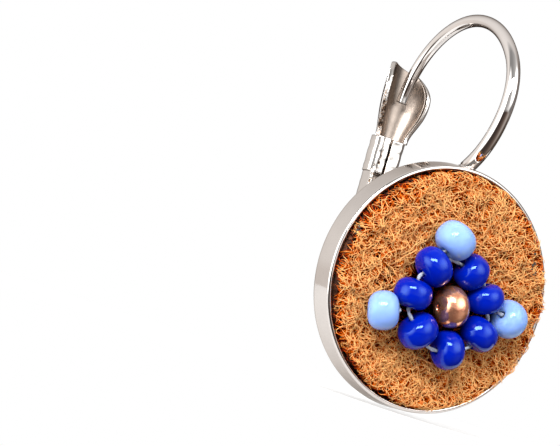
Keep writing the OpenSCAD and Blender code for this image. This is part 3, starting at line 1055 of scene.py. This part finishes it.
def pad_surface(x, z):
    """Where the pad's surface lies along Y, over points of X and Z."""
    flat_x = np.ravel(x)
    flat_z = np.ravel(z)
    waves = np.outer(flat_x, lump_ways[:, 0]) + np.outer(flat_z, lump_ways[:, 1]) + lump_phases
    lumps = np.sin(waves).sum(1) * LUMP_HIGH * math.sqrt(2 / LUMP_COUNT)
    over = (np.hypot(flat_x, flat_z) - hang_out(flat_x, flat_z) - SLOPE_START) / (SLOPE_END - SLOPE_START)
    over = np.clip(over, 0, 1)
    pull = HOLLOW_DEEP * flower_hollow(flat_x, flat_z)
    for spot_x, spot_z in sewn_spots:
        apart = (flat_x - spot_x) ** 2 + (flat_z - spot_z) ** 2
        pull = np.maximum(pull, BEAD_PULL * np.exp(-apart / PULL_R ** 2))
    return (-PAD_PROUD + PAD_PROUD * over ** 2 + lumps + pull).reshape(np.shape(x))


core_angles = np.linspace(0, 2 * math.pi, CORE_SIDES, endpoint=False)
core_rings = []
for radius in np.linspace(CORE_HUB_R, CORE_R, CORE_RINGS):
    x = radius * np.cos(core_angles)
    z = radius * np.sin(core_angles)
    core_rings.append(np.stack([x, pad_surface(x, z) + CORE_DEPTH, z], 1))
for radius in CORE_BACK_RINGS:
    core_rings.append(np.stack([radius * np.cos(core_angles), np.full(CORE_SIDES, PAD_BACK_Y),
                                radius * np.sin(core_angles)], 1))
fibre_core = add_piece("fibre_core", np.concatenate(core_rings), capped_faces(len(core_rings), CORE_SIDES),
                       EARRING, "curly_fibre", "fibre_pad")

# %% [markdown]
# A fibre starts somewhere on the pad and drifts across it. Round that drift it winds like a loose spring
# whose width and pace change at random, which gives the crinkles. It also climbs or sinks a little. A hair
# system could grow such fibres, but here all the fibres of a layer are walked at once with arrays, so that
# they follow the pad's surface. A fibre that would cross the pad's ragged edge is moved back inside it. On
# the right-hand side the upper ones hang out a little over the lip. Each fibre is swept as a thin three-sided
# tube with pointed ends. Its tint holds painted shade: it is pale where it stands clear of the pad, dark
# brown deep down in it, and darker still in the hollow under the flower.

# %% Fibre helpers
FIBRE_SIDES = 3
EDGE_R = 8.57
EDGE_RAGGED = 0.06
EDGE_WAVE = 0.02
UPPER_LEVEL = 0.1
TURN_KEPT = 0.8
TURN_NEW = 0.6
UNEVEN = 0.2
CLIMB = 0.10
TINT_MIDDLE = 0.46
# Painted shade: how much darker a fibre's tint gets for each millimetre that it lies deeper in the pad.
PAINTED_SHADE_BY_DEPTH = 2.2
TINT_SPREAD = 0.10
rim_ways = luck.integers(3, 24, 12)
rim_phases = luck.uniform(0, 2 * math.pi, 12)


def pad_edge(x, z):
    """How far out the fibres reach, which changes round the pad."""
    return EDGE_R + EDGE_WAVE * np.sin(np.multiply.outer(np.arctan2(z, x), rim_ways) + rim_phases).sum(-1)


def walk_fibres(count, steps, drift, curl, pitch, bend, level, level_spread, seed):
    """Rows of points for many fibres, and their tint with painted shade: drift is one step, level their depth
    in the pad.
    """
    own = np.random.default_rng(seed)
    start_r = SLOPE_END * np.sqrt(own.uniform(0, 1, count))
    start_a = own.uniform(0, 2 * math.pi, count)
    x = start_r * np.cos(start_a)
    z = start_r * np.sin(start_a)
    heading_now = own.uniform(0, 2 * math.pi, count)
    turning = own.normal(0, bend, count)
    spin = own.uniform(0, 2 * math.pi, count)
    pace = 2 * math.pi / pitch * own.choice([-1, 1], count) * own.uniform(0.6, 1.5, count)
    width = curl * own.uniform(0.4, 1.4, count)
    flat_rows = []
    rise_rows = []
    for k in range(steps):
        wide = width * (1 + UNEVEN * own.normal(0, 1, count))
        flat_rows.append(np.stack([x - np.sin(heading_now) * wide * np.cos(spin),
                                   z + np.cos(heading_now) * wide * np.cos(spin)], 1))
        rise_rows.append(wide * np.sin(spin))
        turning = TURN_KEPT * turning + TURN_NEW * own.normal(0, bend, count)
        heading_now = heading_now + turning * drift
        spin = spin + pace * drift * (1 + UNEVEN * own.normal(0, 1, count))
        x = x + drift * np.cos(heading_now)
        z = z + drift * np.sin(heading_now)
    flat = np.stack(flat_rows, 1)
    far = np.hypot(flat[:, :, 0], flat[:, :, 1])
    outermost = flat[np.arange(count), far.argmax(1)]
    limit = pad_edge(outermost[:, 0], outermost[:, 1]) + own.normal(0, EDGE_RAGGED, count)
    if level < UPPER_LEVEL:
        limit = limit + hang_out(outermost[:, 0], outermost[:, 1])
    excess = np.maximum(far.max(1) - limit, 0) / far.max(1)
    flat = flat - (outermost * excess[:, None])[:, None, :]
    climb = own.normal(0, CLIMB, count)[:, None] * (np.arange(steps) - steps / 2) * drift
    depth = (level + own.normal(0, level_spread, count))[:, None] + climb + np.stack(rise_rows, 1)
    lines = np.stack([flat[:, :, 0], pad_surface(flat[:, :, 0], flat[:, :, 1]) + depth, flat[:, :, 1]], 2)
    # Painted shade: the tint falls with depth below the pad's surface, and falls further in the hollow under
    # the flower.
    shaded_tints = TINT_MIDDLE - PAINTED_SHADE_BY_DEPTH * depth + own.normal(0, TINT_SPREAD, count)[:, None]
    return lines, shaded_tints - flower_hollow(flat[:, :, 0], flat[:, :, 1])


def fibre_mesh(lines, sizes):
    """Thin three-sided tubes with pointed ends along many lines."""
    count, steps, _ = lines.shape
    way = np.gradient(lines, axis=1)
    way /= np.linalg.norm(way, axis=2)[:, :, None] + 1e-9
    side = np.cross(way, [0.0, 1.0, 0.0])
    side /= np.linalg.norm(side, axis=2)[:, :, None] + 1e-9
    lift = np.cross(side, way)
    shares = np.linspace(0, 1, steps)[1:-1]
    taper = 0.5 + 0.5 * np.sin(math.pi * shares) ** 0.6
    corners = []
    for k in range(FIBRE_SIDES):
        a = 2 * math.pi * k / FIBRE_SIDES
        offset = math.cos(a) * side[:, 1:-1] + math.sin(a) * lift[:, 1:-1]
        corners.append(lines[:, 1:-1] + offset * (sizes[:, None, None] * taper[None, :, None]))
    rings = np.stack(corners, 2)
    inner = steps - 2
    per = inner * FIBRE_SIDES + 2
    points = np.concatenate([rings.reshape(count, inner * FIBRE_SIDES, 3), lines[:, :1], lines[:, -1:]], 1)
    quads = ring_faces(inner, FIBRE_SIDES)
    split = np.concatenate([quads[:, [0, 1, 2]], quads[:, [0, 2, 3]]])
    head = inner * FIBRE_SIDES
    last_ring = head - FIBRE_SIDES
    tips = [[head, (j + 1) % FIBRE_SIDES, j] for j in range(FIBRE_SIDES)]
    tips += [[head + 1, last_ring + j, last_ring + (j + 1) % FIBRE_SIDES] for j in range(FIBRE_SIDES)]
    one = np.concatenate([split, np.array(tips)])
    faces = (one[None] + (np.arange(count) * per)[:, None, None]).reshape(-1, 3)
    return points.reshape(-1, 3), faces


def add_fibres(name, lines, sizes, shaded_tints):
    """A layer of fibres as one piece, with a tint that holds painted shade at every step along each."""
    points, faces = fibre_mesh(lines, sizes)
    mesh = bpy.data.meshes.new(name)
    mesh.vertices.add(len(points))
    mesh.vertices.foreach_set("co", place(points).astype(np.float32).ravel())
    mesh.loops.add(faces.size)
    mesh.loops.foreach_set("vertex_index", faces.ravel().astype(np.int32))
    mesh.polygons.add(len(faces))
    mesh.polygons.foreach_set("loop_start", np.arange(0, faces.size, 3, dtype=np.int32))
    mesh.update(calc_edges=True)
    mesh.validate()
    mesh.shade_smooth()
    piece = bpy.data.objects.new(name, mesh)
    bpy.context.scene.collection.objects.link(piece)
    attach(piece, EARRING)
    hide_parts("fibre_pad")
    along = np.repeat(shaded_tints[:, 1:-1], FIBRE_SIDES, axis=1)
    set_mark(piece, "tint", np.concatenate([along, shaded_tints[:, :1], shaded_tints[:, -1:]], 1).ravel())
    print(name, len(lines), "fibres,", len(faces), "triangles")
    return piece


# %% [markdown]
# The layers build the pad up from below, and the top ones are sparser, so that hollows stay open between
# them. Longer, straighter fibres lie over the rest. In the table, a level above zero lies below the pad's
# surface.

# %% Fibre layers
# Columns: name, fibres, steps, drift, curl, pitch, bend, level, spread of level, thickness, seed
FIBRE_LAYERS = [
    ("fibre_low", 2200, 16, 0.11, 0.17, 0.75, 1.0, 0.34, 0.07, 0.080, 21),
    ("fibre_middle", 2200, 16, 0.11, 0.17, 0.70, 1.0, 0.17, 0.07, 0.068, 22),
    ("fibre_upper", 2200, 16, 0.105, 0.17, 0.65, 1.0, 0.00, 0.06, 0.056, 23),
    ("fibre_top", 1200, 24, 0.12, 0.19, 0.90, 0.9, -0.13, 0.06, 0.052, 24),
    ("fibre_long", 560, 24, 0.17, 0.14, 1.6, 0.7, -0.19, 0.06, 0.056, 25)]
SIZE_SEED = 100

fibre_pieces = []
for name, count, steps, drift, curl, pitch, bend, level, level_spread, thick, seed in FIBRE_LAYERS:
    lines, shaded_tints = walk_fibres(count, steps, drift, curl, pitch, bend, level, level_spread, seed)
    sizes = thick / 2 * np.random.default_rng(seed + SIZE_SEED).uniform(0.7, 1.3, count)
    fibre_pieces.append(add_fibres(name, lines, sizes, shaded_tints))

# %% [markdown]
# A few long fibres have worked loose. Three reach over to the left-hand beads, one arcs round the upper
# bead, two lie under the lowest one and one lies at the upper right. They were charted corner by corner,
# as X and Z.

# %% Loose fibres
LOOSE_LIFT = -0.9
LOOSE_WAVE = 0.12
LOOSE_CRINKLE = 0.03
LOOSE_R = 0.038
LOOSE_STEP = 0.1
LOOSE_SIDES = 6
LOOSE_TINT = 0.95
LOOSE_FIBRES = [
    [(-5.9, 2.4), (-5.1, 2.4), (-4.3, 2.4), (-3.5, 2.0), (-2.9, 2.3)],
    [(-4.7, 0.9), (-4.2, 1.3), (-3.7, 1.9), (-3.2, 2.2), (-2.7, 1.9)],
    [(-5.6, 0.6), (-4.8, 0.4), (-4.3, 0.0), (-4.1, -0.4)],
    [(-1.7, 6.6), (-1.6, 5.8), (-0.8, 5.2), (0.3, 4.9), (1.3, 5.1)],
    [(-1.7, -5.0), (-0.7, -5.1), (0.5, -5.1), (1.4, -5.4)],
    [(-1.0, -5.4), (-0.3, -5.0), (0.7, -5.2), (1.7, -5.7)],
    [(3.6, 3.4), (4.8, 3.1), (5.8, 2.5), (6.5, 2.6)]]

loose_meshes = []
for corners in LOOSE_FIBRES:
    heights = LOOSE_LIFT + LOOSE_WAVE * np.sin(np.arange(len(corners)) * 2.1)
    path = smooth_path([(x, y, z) for (x, z), y in zip(corners, heights)], LOOSE_STEP)
    k = np.arange(len(path))
    path = path + LOOSE_CRINKLE * np.stack([np.sin(0.9 * k), np.cos(0.7 * k), np.sin(0.8 * k + 1)], 1)
    thin = LOOSE_R * np.sin(np.pi * np.clip((k + 1) / (len(path) + 1), 0.05, 0.95)) ** 0.5
    loose_meshes.append(round_tube(path, thin, LOOSE_SIDES))
loose_points, loose_faces = join_meshes(loose_meshes)
loose_fibres = add_piece("loose_fibres", loose_points, loose_faces, EARRING, "curly_fibre", "fibre_pad")
set_mark(loose_fibres, "tint", np.full(len(loose_points), LOOSE_TINT))
fibre_pieces.append(loose_fibres)

# %% [markdown]
# At the pad's upper left edge the real one has caught a few dark crumbs, and a few more at its right-hand
# edge. Each is a small lumpy ball.

# %% Crumbs
# Each row gives a crumb's X, its Z, its depth along Y and its radius.
CRUMBS = [(-8.15, 2.35, -0.52, 0.09), (-8.20, 2.10, -0.52, 0.11), (-8.00, 2.15, -0.52, 0.10),
          (-7.95, 2.45, -0.52, 0.06), (-8.25, 1.85, -0.52, 0.08), (-8.05, 1.90, -0.52, 0.05),
          (6.15, 4.75, -1.02, 0.08), (6.47, 4.07, -0.92, 0.11), (6.36, 3.93, -0.92, 0.10),
          (6.23, 3.63, -1.15, 0.07), (6.68, 3.46, -1.06, 0.08), (6.50, 3.30, -1.22, 0.06)]
CRUMB_SIDES = 12
CRUMB_RINGS = 8
CRUMB_ROUGH = 0.35
CRUMB_SPREAD = 0.6

crumb_around = np.linspace(0, 2 * math.pi, CRUMB_SIDES, endpoint=False)
crumb_meshes = []
for x, z, depth, size in CRUMBS:
    rings = []
    for polar in np.radians(np.linspace(12, 168, CRUMB_RINGS)):
        rough_r = size * (1 + CRUMB_ROUGH * luck.normal(0, CRUMB_SPREAD, CRUMB_SIDES))
        rings.append(np.stack([x + rough_r * math.sin(polar) * np.cos(crumb_around),
                               np.full(CRUMB_SIDES, depth + size * math.cos(polar)),
                               z + rough_r * math.sin(polar) * np.sin(crumb_around)], 1))
    crumb_meshes.append((np.concatenate(rings), capped_faces(len(rings), CRUMB_SIDES)))
dark_crumbs = add_piece("dark_crumbs", *join_meshes(crumb_meshes), EARRING, "curly_fibre", "fibre_pad")

# %% [markdown]
# ## Materials: polished metal
# The tray, wire and lever look like brass with a warm silver plating, polished well. Apart from painted
# shade its colour is even, so the life is in the roughness and in very shallow relief: fine rubbing marks, a
# few pits, and on the lever's cut edges a torn, dark grain with the brass showing through. The lever's inside
# faces are rougher, and painted darker as shade. The real wire and lever also show dark outlines. The
# Principled shader's tint for metals darkens what is seen nearly edge-on, a painted dark reflection that
# copies them without any node that knows where the camera is.

# %% Metal finishes
TRAY_COLOUR = (0.66, 0.62, 0.59)
WIRE_COLOUR = (0.82, 0.78, 0.75)
LEVER_COLOUR = (0.70, 0.66, 0.625)
# Painted shade: the darker colour of the lever's inside faces.
INSIDE_SHADED_COLOUR = (0.34, 0.285, 0.245)
TRAY_GRAZING = (0.55, 0.51, 0.48, 1)
# Painted dark reflection: this tint makes the wire's and lever's edges dark where they are seen nearly
# edge-on.
WIRE_DARK_EDGE_REFLECTION = (0.12, 0.10, 0.09, 1)
BRASS_COLOUR = (0.55, 0.30, 0.14)
TORN_COLOUR = (0.03, 0.022, 0.018)
SPECK_COLOUR = (0.16, 0.12, 0.10)
PLATE_DARKER = 0.90
INSIDE_DARKER = 0.72
METAL_RELIEF = 0.05


def darker(colour, share):
    return tuple(share * c for c in colour)


def lever_wear(nodes, links, colour, rough, relief):
    """The lever's duller inside, painted darker as shade, and the torn, dark grain of its cut edges."""
    inside = read_mark(nodes, "inside")
    mottle = noise(nodes, links, 0.9, 3.0)
    dull = ramp(nodes, links, mottle, [(0.35, darker(INSIDE_SHADED_COLOUR, INSIDE_DARKER)), (0.65, INSIDE_SHADED_COLOUR)])
    colour = mix_colour(nodes, links, inside, colour, dull)
    rough = combine(nodes, links, "ADD", rough, combine(nodes, links, "MULTIPLY", inside, 0.26))
    torn = read_mark(nodes, "torn")
    by_edge = spread(nodes, links, torn, 0.1, 0.4, 0.0, 1.0)
    grain = noise(nodes, links, 3.6, 5.0, (1, 1, 0.5), 0.72)
    worn = combine(nodes, links, "ADD", grain, combine(nodes, links, "MULTIPLY", torn, 0.16))
    bare = combine(nodes, links, "MULTIPLY", spread(nodes, links, worn, 0.62, 0.66, 0.0, 0.8), by_edge)
    dark = combine(nodes, links, "MULTIPLY", spread(nodes, links, worn, 0.655, 0.69, 0.0, 1.0), by_edge)
    colour = mix_colour(nodes, links, bare, colour, BRASS_COLOUR)
    colour = mix_colour(nodes, links, dark, colour, TORN_COLOUR)
    rough = combine(nodes, links, "MAXIMUM", rough, combine(nodes, links, "MULTIPLY", dark, 0.7))
    pits = combine(nodes, links, "MULTIPLY", torn, combine(nodes, links, "MULTIPLY", grain, -1.5))
    return colour, rough, combine(nodes, links, "ADD", relief, pits)


def metal_finish(name, plate_colour, grazing, rub_stretch, roughness, worn_lever=False):
    """Warm silver plating with rubbing marks, and the lever's own wear where it is asked for."""
    finish, nodes, links, shader = new_finish(name)
    shader.inputs["Metallic"].default_value = 1.0
    shader.inputs["Specular Tint"].default_value = grazing
    cloud = noise(nodes, links, 0.35, 4.0)
    colour = ramp(nodes, links, cloud, [(0.3, darker(plate_colour, PLATE_DARKER)), (0.7, plate_colour)])
    rub = noise(nodes, links, 4.0, 3.0, rub_stretch, 0.5)
    specks = spread(nodes, links, noise(nodes, links, 4.5, 2.0), 0.74, 0.80, 0.0, 0.4)
    colour = mix_colour(nodes, links, specks, colour, SPECK_COLOUR)
    rough = spread(nodes, links, rub, 0.3, 0.75, roughness * 0.7, roughness * 1.6)
    relief = combine(nodes, links, "ADD", combine(nodes, links, "MULTIPLY", rub, 0.004),
                     combine(nodes, links, "MULTIPLY", cloud, 0.10))
    if worn_lever:
        colour, rough, relief = lever_wear(nodes, links, colour, rough, relief)
    bump(nodes, links, relief, METAL_RELIEF, shader)
    links.new(colour, shader.inputs["Base Color"])
    links.new(rough, shader.inputs["Roughness"])
    return finish


tray_plating = metal_finish("tray_plating", TRAY_COLOUR, TRAY_GRAZING, (1, 5, 1), 0.08)
wire_plating = metal_finish("wire_plating", WIRE_COLOUR, WIRE_DARK_EDGE_REFLECTION, (3, 1, 1), 0.035)
lever_plating = metal_finish("lever_plating", LEVER_COLOUR, WIRE_DARK_EDGE_REFLECTION, (1, 1, 2), 0.06, worn_lever=True)
dress(tray_plating, tray_shell, hinge_strip)
dress(wire_plating, ear_wire, solder_ring, hinge_rivet)
dress(lever_plating, lever_spoon, lever_sleeve, lever_channel)

# %% [markdown]
# ## Materials: glass
# Opaque bead glass takes its colour from the mass and its gloss from the melted skin, so a coloured base with
# a sharp reflection copies it. That reflection is tinted blue, because a white one makes the dark blue milky.
# A slow noise varies the colour slightly, and shallow dimples keep the highlights from being perfect.

# %% Glass finishes
GLASS_GLOSS = 0.5
GLASS_TINT = (0.36, 0.66, 1.0, 1)
GLASS_ROUGH = 0.05
GLASS_IOR = 1.5
UNDER_SKIN_RADII = (0.3, 0.4, 0.9)
UNDER_SKIN_DEEP = 0.5
COBALT_DEEP = (0.0001, 0.006, 0.23)
COBALT_LIGHT = (0.0002, 0.010, 0.31)
SKY_DEEP = (0.19, 0.31, 0.64)
SKY_LIGHT = (0.22, 0.35, 0.68)


def glass_finish(name, deep, light, under):
    """Opaque glossy glass with a little light under its skin."""
    finish, nodes, links, shader = new_finish(name)
    paint(nodes, links, shader, noise(nodes, links, 0.5, 3.0), [(0.3, deep), (0.7, light)])
    shader.inputs["Roughness"].default_value = GLASS_ROUGH
    shader.inputs["IOR"].default_value = GLASS_IOR
    shader.inputs["Specular Tint"].default_value = GLASS_TINT
    shader.inputs["Specular IOR Level"].default_value = GLASS_GLOSS
    shader.inputs["Subsurface Weight"].default_value = under
    shader.inputs["Subsurface Radius"].default_value = UNDER_SKIN_RADII
    shader.inputs["Subsurface Scale"].default_value = UNDER_SKIN_DEEP * MM
    bump(nodes, links, noise(nodes, links, 1.1, 2.0), 0.004, shader)
    return finish


dress(glass_finish("cobalt_glass", COBALT_DEEP, COBALT_LIGHT, 0.12), *blue_pieces)
dress(glass_finish("sky_glass", SKY_DEEP, SKY_LIGHT, 0.8), *sky_pieces)

# %% [markdown]
# ## Material: copper
# The copper is plain metal with a tumbled shine and patches of darker tarnish. A little less than full
# metalness keeps some of its colour where it mirrors the dark blue beads.

# %% Copper finish
COPPER_COLOUR = (1.0, 0.51, 0.31)
COPPER_TARNISH = (0.82, 0.32, 0.19)
COPPER_METAL = 0.9

copper_skin, nodes, links, shader = new_finish("copper_skin")
shader.inputs["Metallic"].default_value = COPPER_METAL
paint(nodes, links, shader, noise(nodes, links, 0.9, 4.0), [(0.35, COPPER_TARNISH), (0.6, COPPER_COLOUR)])
shine = spread(nodes, links, noise(nodes, links, 5.0, 3.0), 0.3, 0.7, 0.12, 0.26)
links.new(shine, shader.inputs["Roughness"])
bump(nodes, links, noise(nodes, links, 1.6, 3.0), 0.03, shader)
dress(copper_skin, copper_round)

# %% [markdown]
# ## Material: fibre
# Fibre lets some light through, which fits how the hollows of the real pad glow orange instead of turning
# grey. A translucent share mixed in and a saturated colour copy that. The tint kept on each fibre picks its
# colour and carries painted shade, dark for deep fibres and under the flower, and a noise along it adds the
# paler and darker stretches.

# %% Fibre finish
FIBRE_IOR = 1.15
FIBRE_ROUGH = 0.5
FIBRE_GLOW = 0.45
# The lowest stops are painted shade, for deep fibres and the hollow under the flower.
FIBRE_TONES = [
    (0.00, (0.012, 0.0015, 0.0003)),
    (0.20, (0.29, 0.018, 0.0003)),
    (0.44, (0.68, 0.080, 0.0006)),
    (0.68, (0.90, 0.240, 0.010)),
    (1.00, (0.98, 0.63, 0.25))]

fibre_skin, nodes, links, shader = new_finish("fibre_skin")
stretches = spread(nodes, links, noise(nodes, links, 0.8, 3.0), 0.3, 0.7, -0.12, 0.12)
mixed = combine(nodes, links, "ADD", read_mark(nodes, "tint"), stretches)
fibre_colour = ramp(nodes, links, mixed, FIBRE_TONES)
links.new(fibre_colour, shader.inputs["Base Color"])
shader.inputs["Roughness"].default_value = FIBRE_ROUGH
shader.inputs["IOR"].default_value = FIBRE_IOR
bump(nodes, links, noise(nodes, links, 14.0, 2.0), 0.01, shader)
glow = nodes.new("ShaderNodeBsdfTranslucent")
links.new(fibre_colour, glow.inputs["Color"])
blend = nodes.new("ShaderNodeMixShader")
blend.inputs["Fac"].default_value = FIBRE_GLOW
links.new(shader.outputs["BSDF"], blend.inputs[1])
links.new(glow.outputs["BSDF"], blend.inputs[2])
links.new(blend.outputs["Shader"], nodes["Material Output"].inputs["Surface"])
dress(fibre_skin, *fibre_pieces)

# %% [markdown]
# ## Materials: core, crumbs and thread
# Three dull things are left: the felted core under the fibres, the crumbs, and the thread, which is pale,
# matt and slightly grey. The core is near black to dark brown, a painted shade for the depth of the pad. In
# each, one noise gives both the colour and the relief, so that the low parts are painted darker as shade and
# what is high is pale.

# %% Dull finishes
# Painted shade: the core is near black to dark brown, for the depth of the fibre mass.
CORE_SHADE_TONES = [(0.35, (0.012, 0.004, 0.002)), (0.55, (0.10, 0.025, 0.005)), (0.75, (0.30, 0.085, 0.018))]
CRUMB_TONES = [(0.4, (0.012, 0.009, 0.007)), (0.7, (0.10, 0.075, 0.055))]
THREAD_TONES = [(0.3, (0.24, 0.27, 0.35)), (0.7, (0.38, 0.42, 0.50))]


def dull_finish(name, per_mm, detail, rough, tones, roughness, relief_mm):
    """A dull finish whose colour and relief come from one noise, with painted shade in the low parts."""
    finish, nodes, links, shader = new_finish(name)
    field = noise(nodes, links, per_mm, detail, (1, 1, 1), rough)
    paint(nodes, links, shader, field, tones)
    shader.inputs["Roughness"].default_value = roughness
    bump(nodes, links, field, relief_mm, shader)
    return finish


dress(dull_finish("core_shade_skin", 2.4, 5.0, 0.65, CORE_SHADE_TONES, 0.85, 0.16), fibre_core)
dress(dull_finish("crumb_skin", 6.0, 4.0, 0.55, CRUMB_TONES, 0.7, 0.05), dark_crumbs)
dress(dull_finish("thread_skin", 9.0, 3.0, 0.55, THREAD_TONES, 0.6, 0.012), twisted_thread)

# %% [markdown]
# ## The floor
# The photo has a white ground and faint shadows, so the floor is a pale plane that glows a little by itself.

# %% Floor
FLOOR_Z = -9.3
FLOOR_LEFT = -22
FLOOR_RIGHT = 40
FLOOR_FRONT = -3
FLOOR_BEHIND = 42
FLOOR_GLOW = 0.52
FLOOR_ROUGH = 0.8

floor_corners = [(FLOOR_LEFT, FLOOR_FRONT, FLOOR_Z), (FLOOR_RIGHT, FLOOR_FRONT, FLOOR_Z),
                 (FLOOR_RIGHT, FLOOR_BEHIND, FLOOR_Z), (FLOOR_LEFT, FLOOR_BEHIND, FLOOR_Z)]
floor_mesh = bpy.data.meshes.new("floor")
floor_mesh.from_pydata(place(floor_corners).tolist(), [], [(0, 1, 2, 3)])
floor = bpy.data.objects.new("floor", floor_mesh)
bpy.context.scene.collection.objects.link(floor)
floor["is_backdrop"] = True
floor_paint, nodes, links, shader = new_finish("floor_paint")
paint(nodes, links, shader, noise(nodes, links, 0.02, 2.0), [(0.3, grey(0.43)), (0.7, grey(0.47))])
shader.inputs["Roughness"].default_value = FLOOR_ROUGH
shader.inputs["Specular IOR Level"].default_value = 0.0
shader.inputs["Emission Color"].default_value = (1, 1, 1, 1)
shader.inputs["Emission Strength"].default_value = FLOOR_GLOW
dress(floor_paint, floor)

# %% [markdown]
# ## The lights
# The highlights in the photo point to one bright box light above the camera and a soft one on each side. The
# box makes the small highlight on every bead. A wide, weak light from below fills the undersides, and is kept
# out of the reflections. The two side lights are part of the world, which comes next.

# %% Lights
LOOK_AT = Vector(place([0, 2, 1]))


def camera_way(side, up, toward):
    """A direction given by shares to the camera's right, up and towards it."""
    return (RIGHT * side + UP * up - FORWARD * toward).normalized()


def box_light(name, way, distance, width, height, brightness):
    """A flat light that faces the earring from one direction, in metres. Brightness 1 is paper white."""
    data = bpy.data.lights.new(name, "AREA")
    data.shape = "RECTANGLE"
    data.size = width
    data.size_y = height
    data.energy = brightness * math.pi * width * height
    lamp = bpy.data.objects.new(name, data)
    bpy.context.scene.collection.objects.link(lamp)
    flat = UP.cross(way).normalized()
    top = way.cross(flat).normalized()
    spin = Matrix((flat, top, way)).transposed().to_4x4()
    lamp.matrix_world = Matrix.Translation(LOOK_AT + way * distance) @ spin
    print(name, round(data.energy, 3), "watts")
    return lamp


box_light("top_box", camera_way(-0.04, 0.60, 0.80), 0.35, 0.230, 0.100, 30)
fill = box_light("low_fill", camera_way(-0.25, -0.60, 0.76), 0.35, 0.300, 0.200, 1.2)
fill.visible_glossy = False

# %% [markdown]
# ## The world
# Polished metal shows whatever surrounds it, so the world holds a simple studio, drawn with ramps that run
# from left to right. Behind the earring it is pale and turns dark at the right. On the camera's side it is
# dimmer, with a bright stripe at the right. Under the level of the horizon lies a dark table, pale at its
# left end. The two side lights are soft round spots. The camera itself sees plain white.

# %% World
SKY_FRONT = [
    (0.00, grey(1.00)),
    (0.03, grey(0.06)),
    (0.07, grey(0.32)),
    (0.25, grey(0.34)),
    (0.50, grey(0.50)),
    (0.66, grey(0.75)),
    (0.72, grey(1.00)),
    (0.87, grey(1.00)),
    (0.93, grey(0.24)),
    (1.00, grey(0.20))]
SKY_BACK = [
    (0.05, (1.10, 1.06, 1.03)),
    (0.15, (1.05, 1.02, 1.00)),
    (0.30, (0.98, 0.95, 0.93)),
    (0.46, (0.86, 0.83, 0.81)),
    (0.65, (0.78, 0.75, 0.73)),
    (0.82, (0.30, 0.26, 0.24)),
    (1.00, (0.26, 0.23, 0.22))]
TABLE_FRONT = [
    (0.05, (1.00, 0.98, 0.95)),
    (0.09, (0.30, 0.26, 0.22)),
    (0.14, (0.05, 0.035, 0.03)),
    (0.50, (0.06, 0.045, 0.04)),
    (0.68, (0.10, 0.07, 0.06)),
    (0.82, (0.20, 0.15, 0.125)),
    (0.95, (0.48, 0.43, 0.40))]
TABLE_BACK = [
    (0.02, (1.00, 0.94, 0.90)),
    (0.18, (0.98, 0.92, 0.88)),
    (0.28, (0.14, 0.105, 0.085)),
    (0.95, (0.10, 0.075, 0.06))]
# Each row gives a soft light's direction, how many degrees its spot reaches, and its strength.
SOFT_LAMPS = [
    (camera_way(-0.78, 0.28, 0.56), 38, 6.0),
    (camera_way(0.80, 0.30, 0.52), 34, 5.0)]
LAMP_FALLOFF = 1.5
LEVEL_FORWARD = Vector((FORWARD.x, FORWARD.y, 0)).normalized()
LEVEL_RIGHT = LEVEL_FORWARD.cross(Vector((0, 0, 1)))

world = bpy.data.worlds.new("studio")
bpy.context.scene.world = world
world.use_nodes = True
nodes = world.node_tree.nodes
links = world.node_tree.links
background = nodes["Background"]
where = nodes.new("ShaderNodeTexCoord")


def ray_share(direction):
    """How far a ray goes along one direction, from -1 to 1."""
    node = nodes.new("ShaderNodeVectorMath")
    node.operation = "DOT_PRODUCT"
    node.inputs[1].default_value = direction
    links.new(where.outputs["Generated"], node.inputs[0])
    return node.outputs["Value"]


toward = spread(nodes, links, ray_share(-LEVEL_FORWARD), -1, 1, 0, 1)
side = spread(nodes, links, ray_share(LEVEL_RIGHT), -1, 1, 0, 1)
upper = mix_colour(nodes, links, spread(nodes, links, toward, 0.45, 0.55, 0.0, 1.0),
                   ramp(nodes, links, side, SKY_BACK), ramp(nodes, links, side, SKY_FRONT))
lower = mix_colour(nodes, links, spread(nodes, links, toward, 0.42, 0.62, 0.0, 1.0),
                   ramp(nodes, links, side, TABLE_BACK), ramp(nodes, links, side, TABLE_FRONT))
height = ray_share(Vector((0, 0, 1)))
studio = mix_colour(nodes, links, spread(nodes, links, height, -0.12, -0.04, 0.0, 1.0), lower, upper)
for lamp_way, reach, strength in SOFT_LAMPS:
    lamp_share = spread(nodes, links, ray_share(lamp_way), math.cos(math.radians(reach)), 1.0, 0.0, 1.0)
    lamp_share = combine(nodes, links, "POWER", lamp_share, LAMP_FALLOFF)
    studio = mix_colour(nodes, links, lamp_share, studio, grey(strength))
ray = nodes.new("ShaderNodeLightPath")
shown = mix_colour(nodes, links, ray.outputs["Is Camera Ray"], studio, (1.0, 1.0, 1.0))
links.new(shown, background.inputs["Color"])
background.inputs["Strength"].default_value = 1.0
print("world", len(nodes), "nodes")

# %% [markdown]
# The Standard view shows colours as they were set, which suits matching them to a photo.

# %% View
bpy.context.scene.view_settings.view_transform = "Standard"
bpy.context.scene.view_settings.look = "None"

# %% [markdown]
# ## Finish
# The size of the dressed piece is put beside the CAD's, and both are printed.

# %% Sizes and finish
seen_low, seen_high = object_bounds()
sizes = {"cad": [list(cad_low), list(cad_high)], "visual": [list(seen_low), list(seen_high)]}
print("dressed box in mm:", [round(1000 * c, 2) for c in (*seen_low, *seen_high)])
